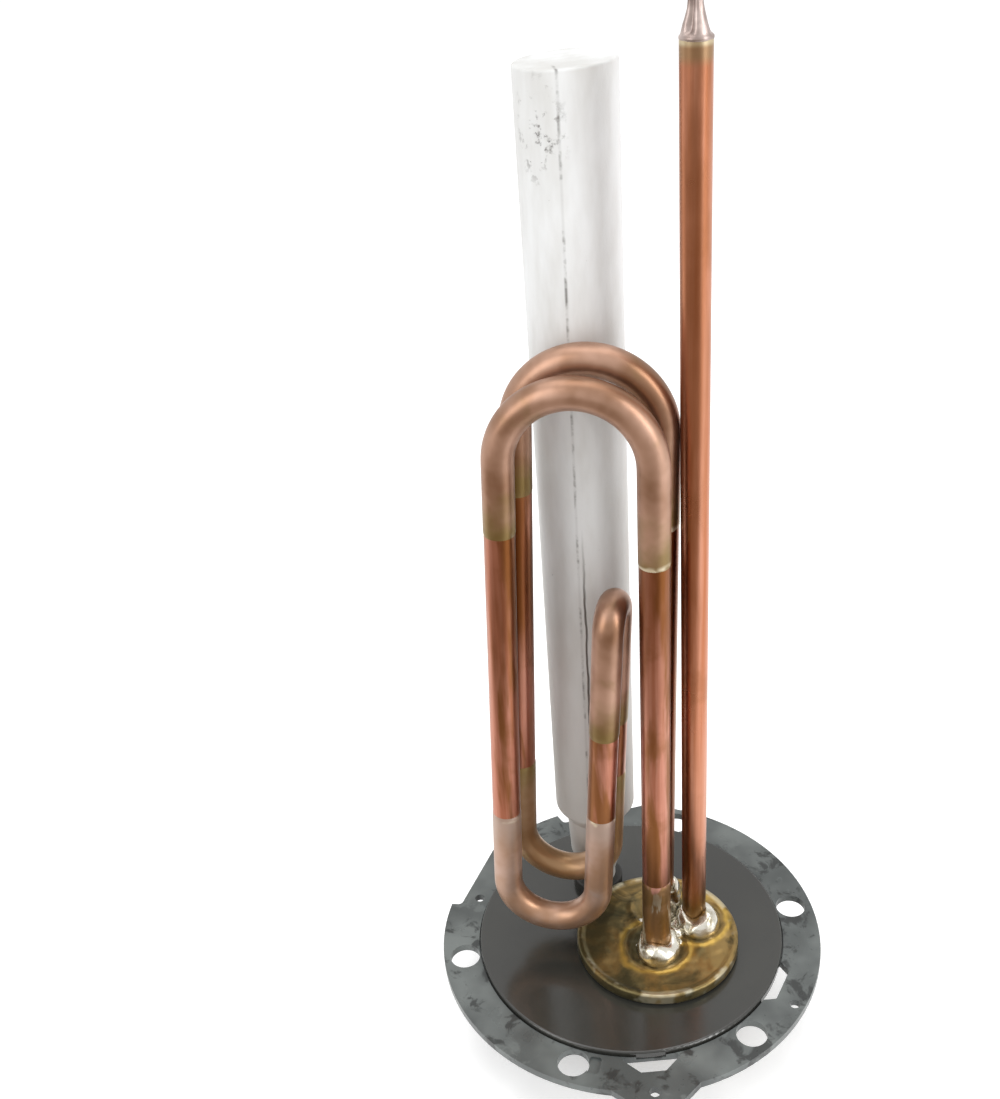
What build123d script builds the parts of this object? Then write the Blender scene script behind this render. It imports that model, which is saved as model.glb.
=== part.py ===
from build123d import *
from math import cos, hypot, radians, sin, tan
import os

# Immersion heater for a storage water tank: a bolted rim ring carries an enamelled
# centre disc, a brass head with a copper double-hairpin heating tube and thermostat
# pocket, and a magnesium anode. Millimetres, +Z up into the tank, z = 0 on top of the ring.

# Rim ring: pressed steel ring bolted under the tank opening.
bolt_circle_r = 54.5
bolt_hole_r = 4.75
bolt_count = 6
rim_margin = 6.9
rim_thick = 2.5
seat_margin = 4.9
seat_depth = 1.2
seat_ledge = 4.1
rim_r = bolt_circle_r + rim_margin
seat_r = bolt_circle_r - seat_margin
rim_open_r = seat_r - seat_ledge

# Flats cut into the rim edge: direction of the flat, depth of the cut, step angle.
left_flat_deg = 150.0
left_flat_cut = 3.6
left_step_deg = 156.6
rear_flat_deg = 96.0
rear_flat_cut = 4.8
rear_step_deg = 102.8
flat_step_r = 1.6
cut_past = 8.0

# Ear that stands out of the rim, with its keyhole and the slot behind it.
ear_deg = 265.2
ear_root_half = 14.6
ear_root_inset = 2.8
ear_tip_half = 5.0
ear_reach = 6.0
ear_corner_r = 3.2
ear_root_dist = rim_r - ear_root_inset
ear_tip_dist = rim_r + ear_reach
ear_slot_in_half = 9.4
ear_slot_inset = 0.2
ear_slot_out_half = 3.7
ear_slot_deep = 5.5
ear_slot_corner_r = 0.6
ear_slot_in_dist = seat_r - ear_slot_inset
ear_slot_out_dist = ear_slot_in_dist + ear_slot_deep

# Narrow slot on the other ear seat.
side_slot_deg = 323.4
side_slot_half = 9.0
side_slot_taper = 3.0
side_slot_inset = 2.0
side_slot_deep = 4.7
side_slot_in_dist = seat_r - side_slot_inset
side_slot_out_dist = side_slot_in_dist + side_slot_deep

# Small pilot holes: direction of each and its offset from the bolt circle.
pilot_hole_r = 1.6
pilot_left_deg = 152.3
pilot_left_out = -1.5
pilot_ear_deg = 264.6
pilot_ear_out = 7.4
pilot_side_deg = 317.9
pilot_side_out = 3.8

# Shallow stamped pocket beside one bolt hole.
stamp_deg = 246.6
stamp_in = 0.9
stamp_long = 5.8
stamp_wide = 3.6
stamp_depth = 0.9

# Centre disc: enamelled steel cover lying in the seat of the ring.
disc_play = 0.4
disc_r = seat_r - disc_play
disc_proud = 1.5
disc_edge_r = 0.7

# Brass head, its threaded spigot and nut.
# Its centre is measured from the rear foot of the heating tube.
head_beside_x = -3.58
head_beside_y = -11.13
head_r = 25.6
head_floor = 2.6
lip_wide = 1.7
lip_high = 0.7
lip_round = 0.3
spigot_r = 20.95
spigot_bore_r = 18.0
spigot_below = 12.5
disc_bore_r = 21.3
gasket_thick = 0.8
gasket_out_r = 25.0
head_washer_r = 25.2
head_washer_thick = 1.2
head_nut_flats = 46.0
head_nut_thick = 6.5
nut_cone_bite = 0.3

# Heating tube: copper sheath, magnesia powder and coil, along one path.
sheath_r = 4.25
sheath_wall = 0.6
coil_r = 1.5
foot_x = 6.08
foot_y = -12.84
foot_z = 2.0
leg_lean_x = 0.242
leg_lean_y = 0.746
front_leg = 171.93
front_top_toward = 161.26
front_top_r = 20.01
front_top_turn = 177.37
front_outer_leg = 145.28
front_low_toward = -19.26
front_low_r = 14.28
front_low_turn = 179.43
front_inner_leg = 95.64
cross_toward = 65.96
cross_bend_r = 5.58
cross_bend_turn = 178.03
rear_inner_leg = 88.83
rear_low_toward = 157.24
rear_low_r = 14.1
rear_low_turn = 179.91
rear_outer_leg = 143.84
rear_top_toward = -19.0
rear_top_r = 19.35
rear_top_turn = 177.72
rear_leg = 176.95
sheath_below = 10.5

# Terminals under the head.
cold_pin_up = 42.0
pin_below = 19.0
end_seal_r = 4.0
end_seal_long = 3.6
tab_wide = 6.3
tab_thick = 0.8
tab_long = 9.5
tab_overlap = 4.0
tab_hole_r = 0.8
tab_hole_in = 2.6

# Braze collars on the head.
front_braze_r = 8.2
front_braze_high = 3.6
rear_braze_r = 5.7
rear_braze_high = 6.5
pocket_braze_r = 5.7
pocket_braze_high = 4.4

# Thermostat pocket, closed by a brazed tip.
# It stands beside the rear foot of the heating tube.
pocket_beside_x = 9.52
pocket_beside_y = -7.28
pocket_r = 3.76
pocket_wall = 0.6
pocket_top = 272.6
pocket_lean_x = -0.56
pocket_lean_y = -0.32
pocket_below = 7.0
tip_collar_r = 3.35
tip_end_r = 1.55
tip_high = 9.4
tip_plug = 3.0
tip_plug_r = 2.9

# Magnesium anode with its cast foot.
# It stands behind the rear foot of the heating tube.
anode_beside_x = -16.98
anode_beside_y = 20.07
anode_r = 12.72
anode_top = 265.8
anode_body_low = 38.5
anode_neck_r = 9.3
anode_neck_high = 33.5
anode_waist_r = 8.5
anode_waist_low = 18.0
anode_foot_r = 5.9
anode_foot_long = 3.0
anode_shoulder_r = 2.0
anode_neck_fillet = 1.2
anode_edge = 0.5
anode_cut_deg = 2.6
anode_cut_spare = 2.0
anode_core_r = 3.2
anode_core_end = 12.0
stud_r = 4.0
stud_hole_r = 6.0
stud_below = 17.0
seal_r = 8.2
seal_thick = 4.0
insulator_sleeve_r = 5.9
insulator_flange_r = 7.8
insulator_flange = 1.6
anode_washer_r = 7.2
anode_washer_thick = 1.6
anode_nut_flats = 13.0
anode_nut_thick = 6.5

# Earth stud welded under the disc.
earth_x = -24.0
earth_y = -16.0
earth_r = 2.5
earth_long = 14.0
earth_washer_r = 5.0
earth_washer_thick = 1.0
earth_nut_flats = 8.0
earth_nut_thick = 4.0

# Levels that follow from the sizes.
disc_low = -seat_depth
disc_top = disc_proud
head_low = disc_top + gasket_thick
head_top = head_low + head_floor
spigot_low = disc_low - spigot_below
bore_clear = 0.25
nut_clear = 0.1
fill_clear = 0.02
sheath_low = disc_low - sheath_below
bore_r = sheath_r - sheath_wall
powder_r = bore_r - fill_clear
powder_bore_r = coil_r + fill_clear


def polar(distance, degrees):
    """Point at a distance and direction from the ring's axis."""
    return (distance * cos(radians(degrees)), distance * sin(radians(degrees)))


def lean_vector(lean_x, lean_y):
    """Unit vector that leans from +Z by two small angles."""
    return Vector(tan(radians(lean_x)), tan(radians(lean_y)), 1.0).normalized()


def leaning_plane(origin, axis):
    """Work plane at a point with its normal along an axis."""
    return Plane(origin=origin, z_dir=axis, x_dir=Vector(1, 0, 0))


def toward(heading, degrees):
    """Unit vector across a heading that faces a plan direction."""
    flat = Vector(cos(radians(degrees)), sin(radians(degrees)), 0)
    return (flat - heading * flat.dot(heading)).normalized()


def bend(point, heading, side, radius, turn):
    """End point, new heading and new side of a bend about a centre on its side."""
    centre = point + side * radius
    angle = radians(turn)
    end = centre - side * (radius * cos(angle)) + heading * (radius * sin(angle))
    leaving = side * sin(angle) + heading * cos(angle)
    inward = side * cos(angle) - heading * sin(angle)
    return end, leaving.normalized(), inward.normalized()


# Path of the heating tube: corner points in order.
leg_dir = lean_vector(leg_lean_x, leg_lean_y)
foot = Vector(foot_x, foot_y, foot_z)
p1 = foot + leg_dir * front_leg
s1 = toward(leg_dir, front_top_toward)
p2, d2, _ = bend(p1, leg_dir, s1, front_top_r, front_top_turn)
p3 = p2 + d2 * front_outer_leg
s3 = toward(d2, front_low_toward)
p4, d4, _ = bend(p3, d2, s3, front_low_r, front_low_turn)
p5 = p4 + d4 * front_inner_leg
s5 = toward(d4, cross_toward)
p6, d6, _ = bend(p5, d4, s5, cross_bend_r, cross_bend_turn)
p7 = p6 + d6 * rear_inner_leg
s7 = toward(d6, rear_low_toward)
p8, d8, _ = bend(p7, d6, s7, rear_low_r, rear_low_turn)
p9 = p8 + d8 * rear_outer_leg
s9 = toward(d8, rear_top_toward)
p10, d10, _ = bend(p9, d8, s9, rear_top_r, rear_top_turn)
p11 = p10 + d10 * rear_leg

# Ends of the sheath under the head, and of the coil inside the legs.
front_end = foot - leg_dir * ((foot_z - sheath_low) / leg_dir.Z)
rear_end = p11 + d10 * ((p11.Z - sheath_low) / -d10.Z)
coil_start = foot + leg_dir * cold_pin_up
coil_finish = p11 - d10 * cold_pin_up
rear_foot = p11 + d10 * ((p11.Z - foot_z) / -d10.Z)

# Places that follow the rear foot.
head_x = rear_foot.X + head_beside_x
head_y = rear_foot.Y + head_beside_y
pocket_x = rear_foot.X + pocket_beside_x
pocket_y = rear_foot.Y + pocket_beside_y
anode_x = rear_foot.X + anode_beside_x
anode_y = rear_foot.Y + anode_beside_y


def straight(start, heading, length, outer_r, inner_r):
    """One straight run of round bar or tube."""
    with BuildPart() as piece:
        with BuildSketch(Plane(origin=start, z_dir=heading)):
            Circle(outer_r)
            if inner_r:
                Circle(inner_r, mode=Mode.SUBTRACT)
        extrude(amount=length)
    return piece.part


def curve(start, heading, side, radius, turn, outer_r, inner_r):
    """One bend of round bar or tube."""
    with BuildPart() as piece:
        with BuildSketch(Plane(origin=start, z_dir=heading, x_dir=side)):
            Circle(outer_r)
            if inner_r:
                Circle(inner_r, mode=Mode.SUBTRACT)
        revolve(axis=Axis(start + side * radius, heading.cross(side)), revolution_arc=turn)
    return piece.part


def lay_tube(start, finish, outer_r, inner_r=0):
    """Whole hairpin between two points on its end legs."""
    with BuildPart() as tube:
        add(straight(start, leg_dir, (p1 - start).length, outer_r, inner_r))
        add(curve(p1, leg_dir, s1, front_top_r, front_top_turn, outer_r, inner_r))
        add(straight(p2, d2, front_outer_leg, outer_r, inner_r))
        add(curve(p3, d2, s3, front_low_r, front_low_turn, outer_r, inner_r))
        add(straight(p4, d4, front_inner_leg, outer_r, inner_r))
        add(curve(p5, d4, s5, cross_bend_r, cross_bend_turn, outer_r, inner_r))
        add(straight(p6, d6, rear_inner_leg, outer_r, inner_r))
        add(curve(p7, d6, s7, rear_low_r, rear_low_turn, outer_r, inner_r))
        add(straight(p8, d8, rear_outer_leg, outer_r, inner_r))
        add(curve(p9, d8, s9, rear_top_r, rear_top_turn, outer_r, inner_r))
        add(straight(p10, d10, (finish - p10).length, outer_r, inner_r))
    return tube.part


# Rim ring.
def rim_cut(flat_deg, flat_cut, step_deg):
    """Flat with a rounded step at one end, cut from the edge of the ring."""
    far = rim_r + cut_past
    flat_dist = rim_r - flat_cut
    u = polar(1, flat_deg)
    t = (-u[1], u[0])
    step = polar(1, step_deg)
    reach = flat_dist * tan(radians(step_deg - flat_deg))
    a = (u[0] * flat_dist - t[0] * far / 2, u[1] * flat_dist - t[1] * far / 2)
    b = (u[0] * flat_dist + t[0] * reach, u[1] * flat_dist + t[1] * reach)
    c = (step[0] * far + t[0] * 2, step[1] * far + t[1] * 2)
    d = (u[0] * far - t[0] * far / 2, u[1] * far - t[1] * far / 2)
    with BuildSketch(Plane.XY.offset(-rim_thick)) as cut:
        with BuildLine():
            Polyline(a, b, c, d, close=True)
        make_face()
        fillet(cut.vertices().sort_by_distance((b[0], b[1], -rim_thick))[0], flat_step_r)
    return cut.sketch


def trapezoid(direction, in_half, in_dist, out_half, out_dist, level):
    """Four-cornered outline facing outward, as tangential and radial sizes."""
    with BuildSketch(Plane.XY.offset(level)) as shape:
        with BuildLine():
            Polyline(
                (in_dist, -in_half),
                (out_dist, -out_half),
                (out_dist, out_half),
                (in_dist, in_half),
                close=True,
            )
        make_face()
    return shape.sketch.rotate(Axis.Z, direction)


with BuildPart() as rim_ring:
    with BuildSketch(Plane.XY.offset(-rim_thick)):
        Circle(rim_r)
        add(trapezoid(ear_deg, ear_root_half, ear_root_dist, ear_tip_half, ear_tip_dist, -rim_thick))
    extrude(amount=rim_thick)
    with BuildSketch(Plane.XY.offset(-rim_thick)):
        add(rim_cut(left_flat_deg, left_flat_cut, left_step_deg))
        add(rim_cut(rear_flat_deg, rear_flat_cut, rear_step_deg))
    extrude(amount=rim_thick, mode=Mode.SUBTRACT)
    upright = rim_ring.edges().filter_by(Axis.Z)
    tips = [e for e in upright if hypot(e.center().X, e.center().Y) > rim_r + ear_reach / 2]
    fillet(tips, ear_corner_r)
    with BuildSketch(Plane.XY.offset(-rim_thick)):
        Circle(rim_open_r)
        with PolarLocations(bolt_circle_r, bolt_count):
            Circle(bolt_hole_r)
        with Locations(
            polar(bolt_circle_r + pilot_left_out, pilot_left_deg),
            polar(bolt_circle_r + pilot_ear_out, pilot_ear_deg),
            polar(bolt_circle_r + pilot_side_out, pilot_side_deg),
        ):
            Circle(pilot_hole_r)
    extrude(amount=rim_thick, mode=Mode.SUBTRACT)
    with BuildSketch(Plane.XY.offset(-seat_depth)):
        Circle(seat_r)
    extrude(amount=seat_depth, mode=Mode.SUBTRACT)
    with BuildSketch(Plane.XY.offset(-rim_thick)) as slots:
        add(
            trapezoid(
                ear_deg,
                ear_slot_in_half,
                ear_slot_in_dist,
                ear_slot_out_half,
                ear_slot_out_dist,
                -rim_thick,
            )
        )
        add(
            trapezoid(
                side_slot_deg,
                side_slot_half,
                side_slot_in_dist,
                side_slot_half - side_slot_taper,
                side_slot_out_dist,
                -rim_thick,
            )
        )
        fillet(slots.vertices(), ear_slot_corner_r)
    extrude(amount=rim_thick, mode=Mode.SUBTRACT)
    with BuildSketch(Plane.XY.offset(-stamp_depth)):
        with Locations(Location((*polar(bolt_circle_r - stamp_in, stamp_deg), 0), (0, 0, stamp_deg))):
            RectangleRounded(stamp_long, stamp_wide, 0.8)
    extrude(amount=stamp_depth, mode=Mode.SUBTRACT)

# Centre disc.
with BuildPart() as centre_disc:
    with BuildSketch(Plane.XY.offset(disc_low)):
        Circle(disc_r)
        with Locations((head_x, head_y)):
            Circle(disc_bore_r, mode=Mode.SUBTRACT)
        with Locations((anode_x, anode_y)):
            Circle(stud_hole_r, mode=Mode.SUBTRACT)
    extrude(amount=disc_top - disc_low)
    rim_edge = centre_disc.edges().filter_by(GeomType.CIRCLE).group_by(Axis.Z)[-1]
    fillet(rim_edge.sort_by(SortBy.RADIUS)[-1], disc_edge_r)

# Brass head.
with BuildPart() as heater_gasket:
    with BuildSketch(Plane.XY.offset(disc_top)):
        with Locations((head_x, head_y)):
            Circle(gasket_out_r)
            Circle(disc_bore_r, mode=Mode.SUBTRACT)
    extrude(amount=gasket_thick)

front_plane = leaning_plane(front_end, leg_dir)
rear_plane = leaning_plane(rear_end, d10 * -1)
pocket_dir = lean_vector(pocket_lean_x, pocket_lean_y)
pocket_start = Vector(pocket_x, pocket_y, 0) - pocket_dir * pocket_below
pocket_plane = leaning_plane(pocket_start, pocket_dir)

with BuildPart() as heater_head:
    with BuildSketch(Plane.XY.offset(head_low)):
        with Locations((head_x, head_y)):
            Circle(head_r)
    extrude(amount=head_floor + lip_high)
    with BuildSketch(Plane.XY.offset(head_top)):
        with Locations((head_x, head_y)):
            Circle(head_r - lip_wide)
    extrude(amount=lip_high, mode=Mode.SUBTRACT)
    top_edges = heater_head.edges().filter_by(GeomType.CIRCLE).group_by(Axis.Z)[-1]
    fillet(top_edges, lip_round)
    with BuildSketch(Plane.XY.offset(spigot_low)):
        with Locations((head_x, head_y)):
            Circle(spigot_r)
            Circle(spigot_bore_r, mode=Mode.SUBTRACT)
    extrude(amount=head_low - spigot_low)
    with BuildSketch(front_plane):
        Circle(sheath_r)
    extrude(amount=40, mode=Mode.SUBTRACT)
    with BuildSketch(rear_plane):
        Circle(sheath_r)
    extrude(amount=40, mode=Mode.SUBTRACT)
    with BuildSketch(pocket_plane):
        Circle(pocket_r)
    extrude(amount=40, mode=Mode.SUBTRACT)

with BuildPart() as head_washer:
    with BuildSketch(Plane.XY.offset(disc_low - head_washer_thick)):
        with Locations((head_x, head_y)):
            Circle(head_washer_r)
            Circle(spigot_r + bore_clear, mode=Mode.SUBTRACT)
    extrude(amount=head_washer_thick)

nut_top = disc_low - head_washer_thick
nut_cone_in = head_nut_flats / 2 - nut_cone_bite
nut_cone_out = head_nut_flats / 2 + cut_past
with BuildPart() as nut_cone:
    with BuildSketch(Plane.XZ):
        with BuildLine():
            Polyline(
                (nut_cone_in, 0),
                (nut_cone_out, 0),
                (nut_cone_out, (nut_cone_out - nut_cone_in) * tan(radians(30))),
                close=True,
            )
        make_face()
    revolve(axis=Axis.Z)

with BuildPart() as head_nut:
    with BuildSketch(Plane.XY.offset(nut_top - head_nut_thick)):
        with Locations((head_x, head_y)):
            RegularPolygon(head_nut_flats / 2, 6, major_radius=False)
            Circle(spigot_r + nut_clear, mode=Mode.SUBTRACT)
    extrude(amount=head_nut_thick)
    with Locations((head_x, head_y, nut_top - head_nut_thick)):
        add(nut_cone.part, mode=Mode.SUBTRACT)

# Heating tube.
with BuildPart() as heating_sheath:
    add(lay_tube(front_end, rear_end, sheath_r, bore_r))

with BuildPart() as magnesia_fill:
    add(lay_tube(front_end, rear_end, powder_r, powder_bore_r))

with BuildPart() as heating_coil:
    add(lay_tube(coil_start, coil_finish, coil_r))


def make_pin(end, axis, top):
    """Cold pin from under the seal up to the coil."""
    start = end - axis * (pin_below - sheath_below)
    with BuildPart() as pin:
        with BuildSketch(leaning_plane(start, axis)):
            Circle(coil_r)
        extrude(amount=(top - start).length)
    return pin.part


def make_end_seal(end, axis):
    """Bead that closes the end of the sheath around the pin."""
    with BuildPart() as seal:
        with BuildSketch(leaning_plane(end - axis * end_seal_long, axis)):
            Circle(end_seal_r)
            Circle(coil_r, mode=Mode.SUBTRACT)
        extrude(amount=end_seal_long)
        fillet(seal.edges().filter_by(GeomType.CIRCLE).group_by(Axis.Z)[0].sort_by(SortBy.RADIUS)[-1], 1.2)
    return seal.part


def make_tab(end, axis):
    """Flat push-on tab welded to the side of the pin."""
    pin_end = end - axis * (pin_below - sheath_below)
    base = leaning_plane(pin_end, axis)
    with BuildPart() as tab:
        with BuildSketch(base.offset(tab_overlap - tab_long)):
            with Locations((0, coil_r + tab_thick / 2)):
                Rectangle(tab_wide, tab_thick)
        extrude(amount=tab_long)
        corners = [e for e in tab.edges() if abs(e.length - tab_thick) < 0.01]
        corners.sort(key=lambda e: e.center().Z)
        fillet(corners[:2], 1.2)
        hole_at = pin_end - axis * (tab_long - tab_overlap - tab_hole_in)
        with BuildSketch(Plane(origin=hole_at, z_dir=base.y_dir, x_dir=Vector(1, 0, 0))):
            Circle(tab_hole_r)
        extrude(amount=10, mode=Mode.SUBTRACT)
    return tab.part


with BuildPart() as pin_front:
    add(make_pin(front_end, leg_dir, coil_start))
with BuildPart() as pin_rear:
    add(make_pin(rear_end, d10 * -1, coil_finish))
with BuildPart() as end_seal_front:
    add(make_end_seal(front_end, leg_dir))
with BuildPart() as end_seal_rear:
    add(make_end_seal(rear_end, d10 * -1))
with BuildPart() as tab_front:
    add(make_tab(front_end, leg_dir))
with BuildPart() as tab_rear:
    add(make_tab(rear_end, d10 * -1))


# Braze collars on top of the head.
def make_braze(centre, plane, hole_r, foot_r, high):
    """Fillet of brazing metal around a tube where it stands on the head."""
    with BuildPart() as cone:
        with BuildSketch(Plane.XZ):
            with BuildLine():
                Line((0, 0), (foot_r, 0))
                Line((foot_r, 0), (foot_r - 0.1, 0.5))
                RadiusArc((foot_r - 0.1, 0.5), (hole_r + 0.45, high), foot_r)
                Line((hole_r + 0.45, high), (0, high))
                Line((0, high), (0, 0))
            make_face()
        revolve(axis=Axis.Z)
    with BuildPart() as collar:
        with Locations((centre.X, centre.Y, head_top)):
            add(cone.part)
        with BuildSketch(plane):
            Circle(hole_r)
        extrude(amount=60, mode=Mode.SUBTRACT)
    return collar.part


def on_head(point, axis):
    """Point where a leaning axis crosses the top of the head."""
    return point + axis * ((head_top - point.Z) / axis.Z)


with BuildPart() as braze_front:
    add(make_braze(on_head(foot, leg_dir), front_plane, sheath_r, front_braze_r, front_braze_high))
with BuildPart() as braze_pocket:
    add(
        make_braze(
            on_head(pocket_start, pocket_dir),
            pocket_plane,
            pocket_r,
            pocket_braze_r,
            pocket_braze_high,
        )
    )
with BuildPart() as braze_rear:
    add(make_braze(on_head(rear_foot, d10), rear_plane, sheath_r, rear_braze_r, rear_braze_high))
    add(braze_pocket.part, mode=Mode.SUBTRACT)

# Thermostat pocket.
pocket_long = pocket_below + pocket_top / pocket_dir.Z
with BuildPart() as pocket_tube:
    with BuildSketch(pocket_plane):
        Circle(pocket_r)
    extrude(amount=pocket_long)
    with BuildSketch(pocket_plane):
        Circle(pocket_r - pocket_wall)
    extrude(amount=pocket_long - tip_plug, mode=Mode.SUBTRACT)
    with BuildSketch(pocket_plane):
        Circle(tip_plug_r)
    extrude(amount=pocket_long, mode=Mode.SUBTRACT)

tip_plane = pocket_plane.offset(pocket_long)
with BuildPart() as pocket_tip:
    with BuildSketch(tip_plane.offset(-tip_plug)):
        Circle(tip_plug_r)
    extrude(amount=tip_plug)
    with BuildSketch(tip_plane):
        Circle(tip_collar_r)
    with BuildSketch(tip_plane.offset(tip_high)):
        Ellipse(tip_collar_r * 0.62, tip_end_r)
    loft()
    tip_faces = pocket_tip.faces().sort_by(Axis.Z)
    fillet(tip_faces[-1].edges(), 0.6)

# Magnesium anode.
seal_top = disc_top + seal_thick
anode_foot_high = seal_top + anode_foot_long
with BuildPart() as anode_casting:
    with BuildSketch(Plane.XZ):
        with BuildLine():
            Polyline(
                (0, seal_top),
                (anode_foot_r, seal_top),
                (anode_foot_r, anode_foot_high),
                (anode_waist_r, anode_waist_low),
                (anode_neck_r, anode_neck_high),
                (anode_r, anode_body_low),
                (anode_r, anode_top + anode_cut_spare),
                (0, anode_top + anode_cut_spare),
                close=True,
            )
        make_face()
    revolve(axis=Axis.Z)
    rings = anode_casting.edges().filter_by(GeomType.CIRCLE)
    fillet([e for e in rings if abs(e.center().Z - anode_body_low) < 0.1], anode_shoulder_r)
    rings = anode_casting.edges().filter_by(GeomType.CIRCLE)
    fillet([e for e in rings if abs(e.center().Z - anode_neck_high) < 0.1], anode_neck_fillet)
    rings = anode_casting.edges().filter_by(GeomType.CIRCLE)
    fillet([e for e in rings if abs(e.center().Z - anode_waist_low) < 0.1], anode_neck_fillet)

with BuildPart() as anode_body:
    with Locations((anode_x, anode_y, 0)):
        add(anode_casting.part)
    saw = Plane(origin=(anode_x, anode_y, anode_top), z_dir=(-sin(radians(anode_cut_deg)), 0, 1))
    split(bisect_by=saw, keep=Keep.BOTTOM)
    top_face = anode_body.faces().sort_by(Axis.Z)[-1]
    fillet(top_face.edges(), anode_edge)
    with BuildSketch(Plane.XY.offset(seal_top)):
        with Locations((anode_x, anode_y)):
            Circle(anode_core_r)
    extrude(amount=anode_top - anode_core_end - seal_top, mode=Mode.SUBTRACT)

with BuildPart() as anode_core:
    with BuildSketch(Plane.XY.offset(seal_top)):
        with Locations((anode_x, anode_y)):
            Circle(anode_core_r)
    extrude(amount=anode_top - anode_core_end - seal_top)
    with BuildSketch(Plane.XY.offset(disc_low - stud_below)):
        with Locations((anode_x, anode_y)):
            Circle(stud_r)
    extrude(amount=seal_top - disc_low + stud_below)
    chamfer(anode_core.edges().filter_by(GeomType.CIRCLE).group_by(Axis.Z)[0], 0.6)

with BuildPart() as anode_seal:
    with BuildSketch(Plane.XY.offset(disc_top)):
        with Locations((anode_x, anode_y)):
            Circle(seal_r)
            Circle(stud_r, mode=Mode.SUBTRACT)
    extrude(amount=seal_thick)
    outer = anode_seal.edges().filter_by(GeomType.CIRCLE).group_by(Axis.Z)[-1].sort_by(SortBy.RADIUS)[-1]
    fillet(outer, 0.8)

insulator_low = disc_low - insulator_flange
with BuildPart() as anode_insulator:
    with BuildSketch(Plane.XY.offset(insulator_low)):
        with Locations((anode_x, anode_y)):
            Circle(insulator_flange_r)
            Circle(stud_r, mode=Mode.SUBTRACT)
    extrude(amount=insulator_flange)
    with BuildSketch(Plane.XY.offset(disc_low)):
        with Locations((anode_x, anode_y)):
            Circle(insulator_sleeve_r)
            Circle(stud_r, mode=Mode.SUBTRACT)
    extrude(amount=disc_top - disc_low)

with BuildPart() as anode_washer:
    with BuildSketch(Plane.XY.offset(insulator_low - anode_washer_thick)):
        with Locations((anode_x, anode_y)):
            Circle(anode_washer_r)
            Circle(stud_r + bore_clear, mode=Mode.SUBTRACT)
    extrude(amount=anode_washer_thick)

anode_nut_low = insulator_low - anode_washer_thick - anode_nut_thick
with BuildPart() as anode_nut:
    with BuildSketch(Plane.XY.offset(anode_nut_low)):
        with Locations((anode_x, anode_y)):
            RegularPolygon(anode_nut_flats / 2, 6, major_radius=False)
            Circle(stud_r + nut_clear, mode=Mode.SUBTRACT)
    extrude(amount=anode_nut_thick)

# Earth stud.
with BuildPart() as earth_stud:
    with BuildSketch(Plane.XY.offset(disc_low - earth_long)):
        with Locations((earth_x, earth_y)):
            Circle(earth_r)
    extrude(amount=earth_long)
    chamfer(earth_stud.edges().filter_by(GeomType.CIRCLE).group_by(Axis.Z)[0], 0.5)

with BuildPart() as earth_washer:
    with BuildSketch(Plane.XY.offset(disc_low - earth_washer_thick)):
        with Locations((earth_x, earth_y)):
            Circle(earth_washer_r)
            Circle(earth_r + bore_clear, mode=Mode.SUBTRACT)
    extrude(amount=earth_washer_thick)

earth_nut_low = disc_low - earth_washer_thick - earth_nut_thick
with BuildPart() as earth_nut:
    with BuildSketch(Plane.XY.offset(earth_nut_low)):
        with Locations((earth_x, earth_y)):
            RegularPolygon(earth_nut_flats / 2, 6, major_radius=False)
            Circle(earth_r + nut_clear, mode=Mode.SUBTRACT)
    extrude(amount=earth_nut_thick)

# Export.
rim_ring.part.label = "rim_ring"
centre_disc.part.label = "centre_disc"
heater_gasket.part.label = "heater_gasket"
heater_head.part.label = "heater_head"
head_washer.part.label = "head_washer"
head_nut.part.label = "head_nut"
heating_sheath.part.label = "heating_sheath"
magnesia_fill.part.label = "magnesia_fill"
heating_coil.part.label = "heating_coil"
pin_front.part.label = "pin_front"
pin_rear.part.label = "pin_rear"
end_seal_front.part.label = "end_seal_front"
end_seal_rear.part.label = "end_seal_rear"
tab_front.part.label = "tab_front"
tab_rear.part.label = "tab_rear"
braze_front.part.label = "braze_front"
braze_rear.part.label = "braze_rear"
braze_pocket.part.label = "braze_pocket"
pocket_tube.part.label = "pocket_tube"
pocket_tip.part.label = "pocket_tip"
anode_body.part.label = "anode_body"
anode_core.part.label = "anode_core"
anode_seal.part.label = "anode_seal"
anode_insulator.part.label = "anode_insulator"
anode_washer.part.label = "anode_washer"
anode_nut.part.label = "anode_nut"
earth_stud.part.label = "earth_stud"
earth_washer.part.label = "earth_washer"
earth_nut.part.label = "earth_nut"

os.makedirs("parts", exist_ok=True)
export_step(rim_ring.part, "parts/rim_ring.step")
export_step(centre_disc.part, "parts/centre_disc.step")
export_step(heater_gasket.part, "parts/heater_gasket.step")
export_step(heater_head.part, "parts/heater_head.step")
export_step(head_washer.part, "parts/head_washer.step")
export_step(head_nut.part, "parts/head_nut.step")
export_step(heating_sheath.part, "parts/heating_sheath.step")
export_step(magnesia_fill.part, "parts/magnesia_fill.step")
export_step(heating_coil.part, "parts/heating_coil.step")
export_step(pin_front.part, "parts/pin_front.step")
export_step(pin_rear.part, "parts/pin_rear.step")
export_step(end_seal_front.part, "parts/end_seal_front.step")
export_step(end_seal_rear.part, "parts/end_seal_rear.step")
export_step(tab_front.part, "parts/tab_front.step")
export_step(tab_rear.part, "parts/tab_rear.step")
export_step(braze_front.part, "parts/braze_front.step")
export_step(braze_rear.part, "parts/braze_rear.step")
export_step(braze_pocket.part, "parts/braze_pocket.step")
export_step(pocket_tube.part, "parts/pocket_tube.step")
export_step(pocket_tip.part, "parts/pocket_tip.step")
export_step(anode_body.part, "parts/anode_body.step")
export_step(anode_core.part, "parts/anode_core.step")
export_step(anode_seal.part, "parts/anode_seal.step")
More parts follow.
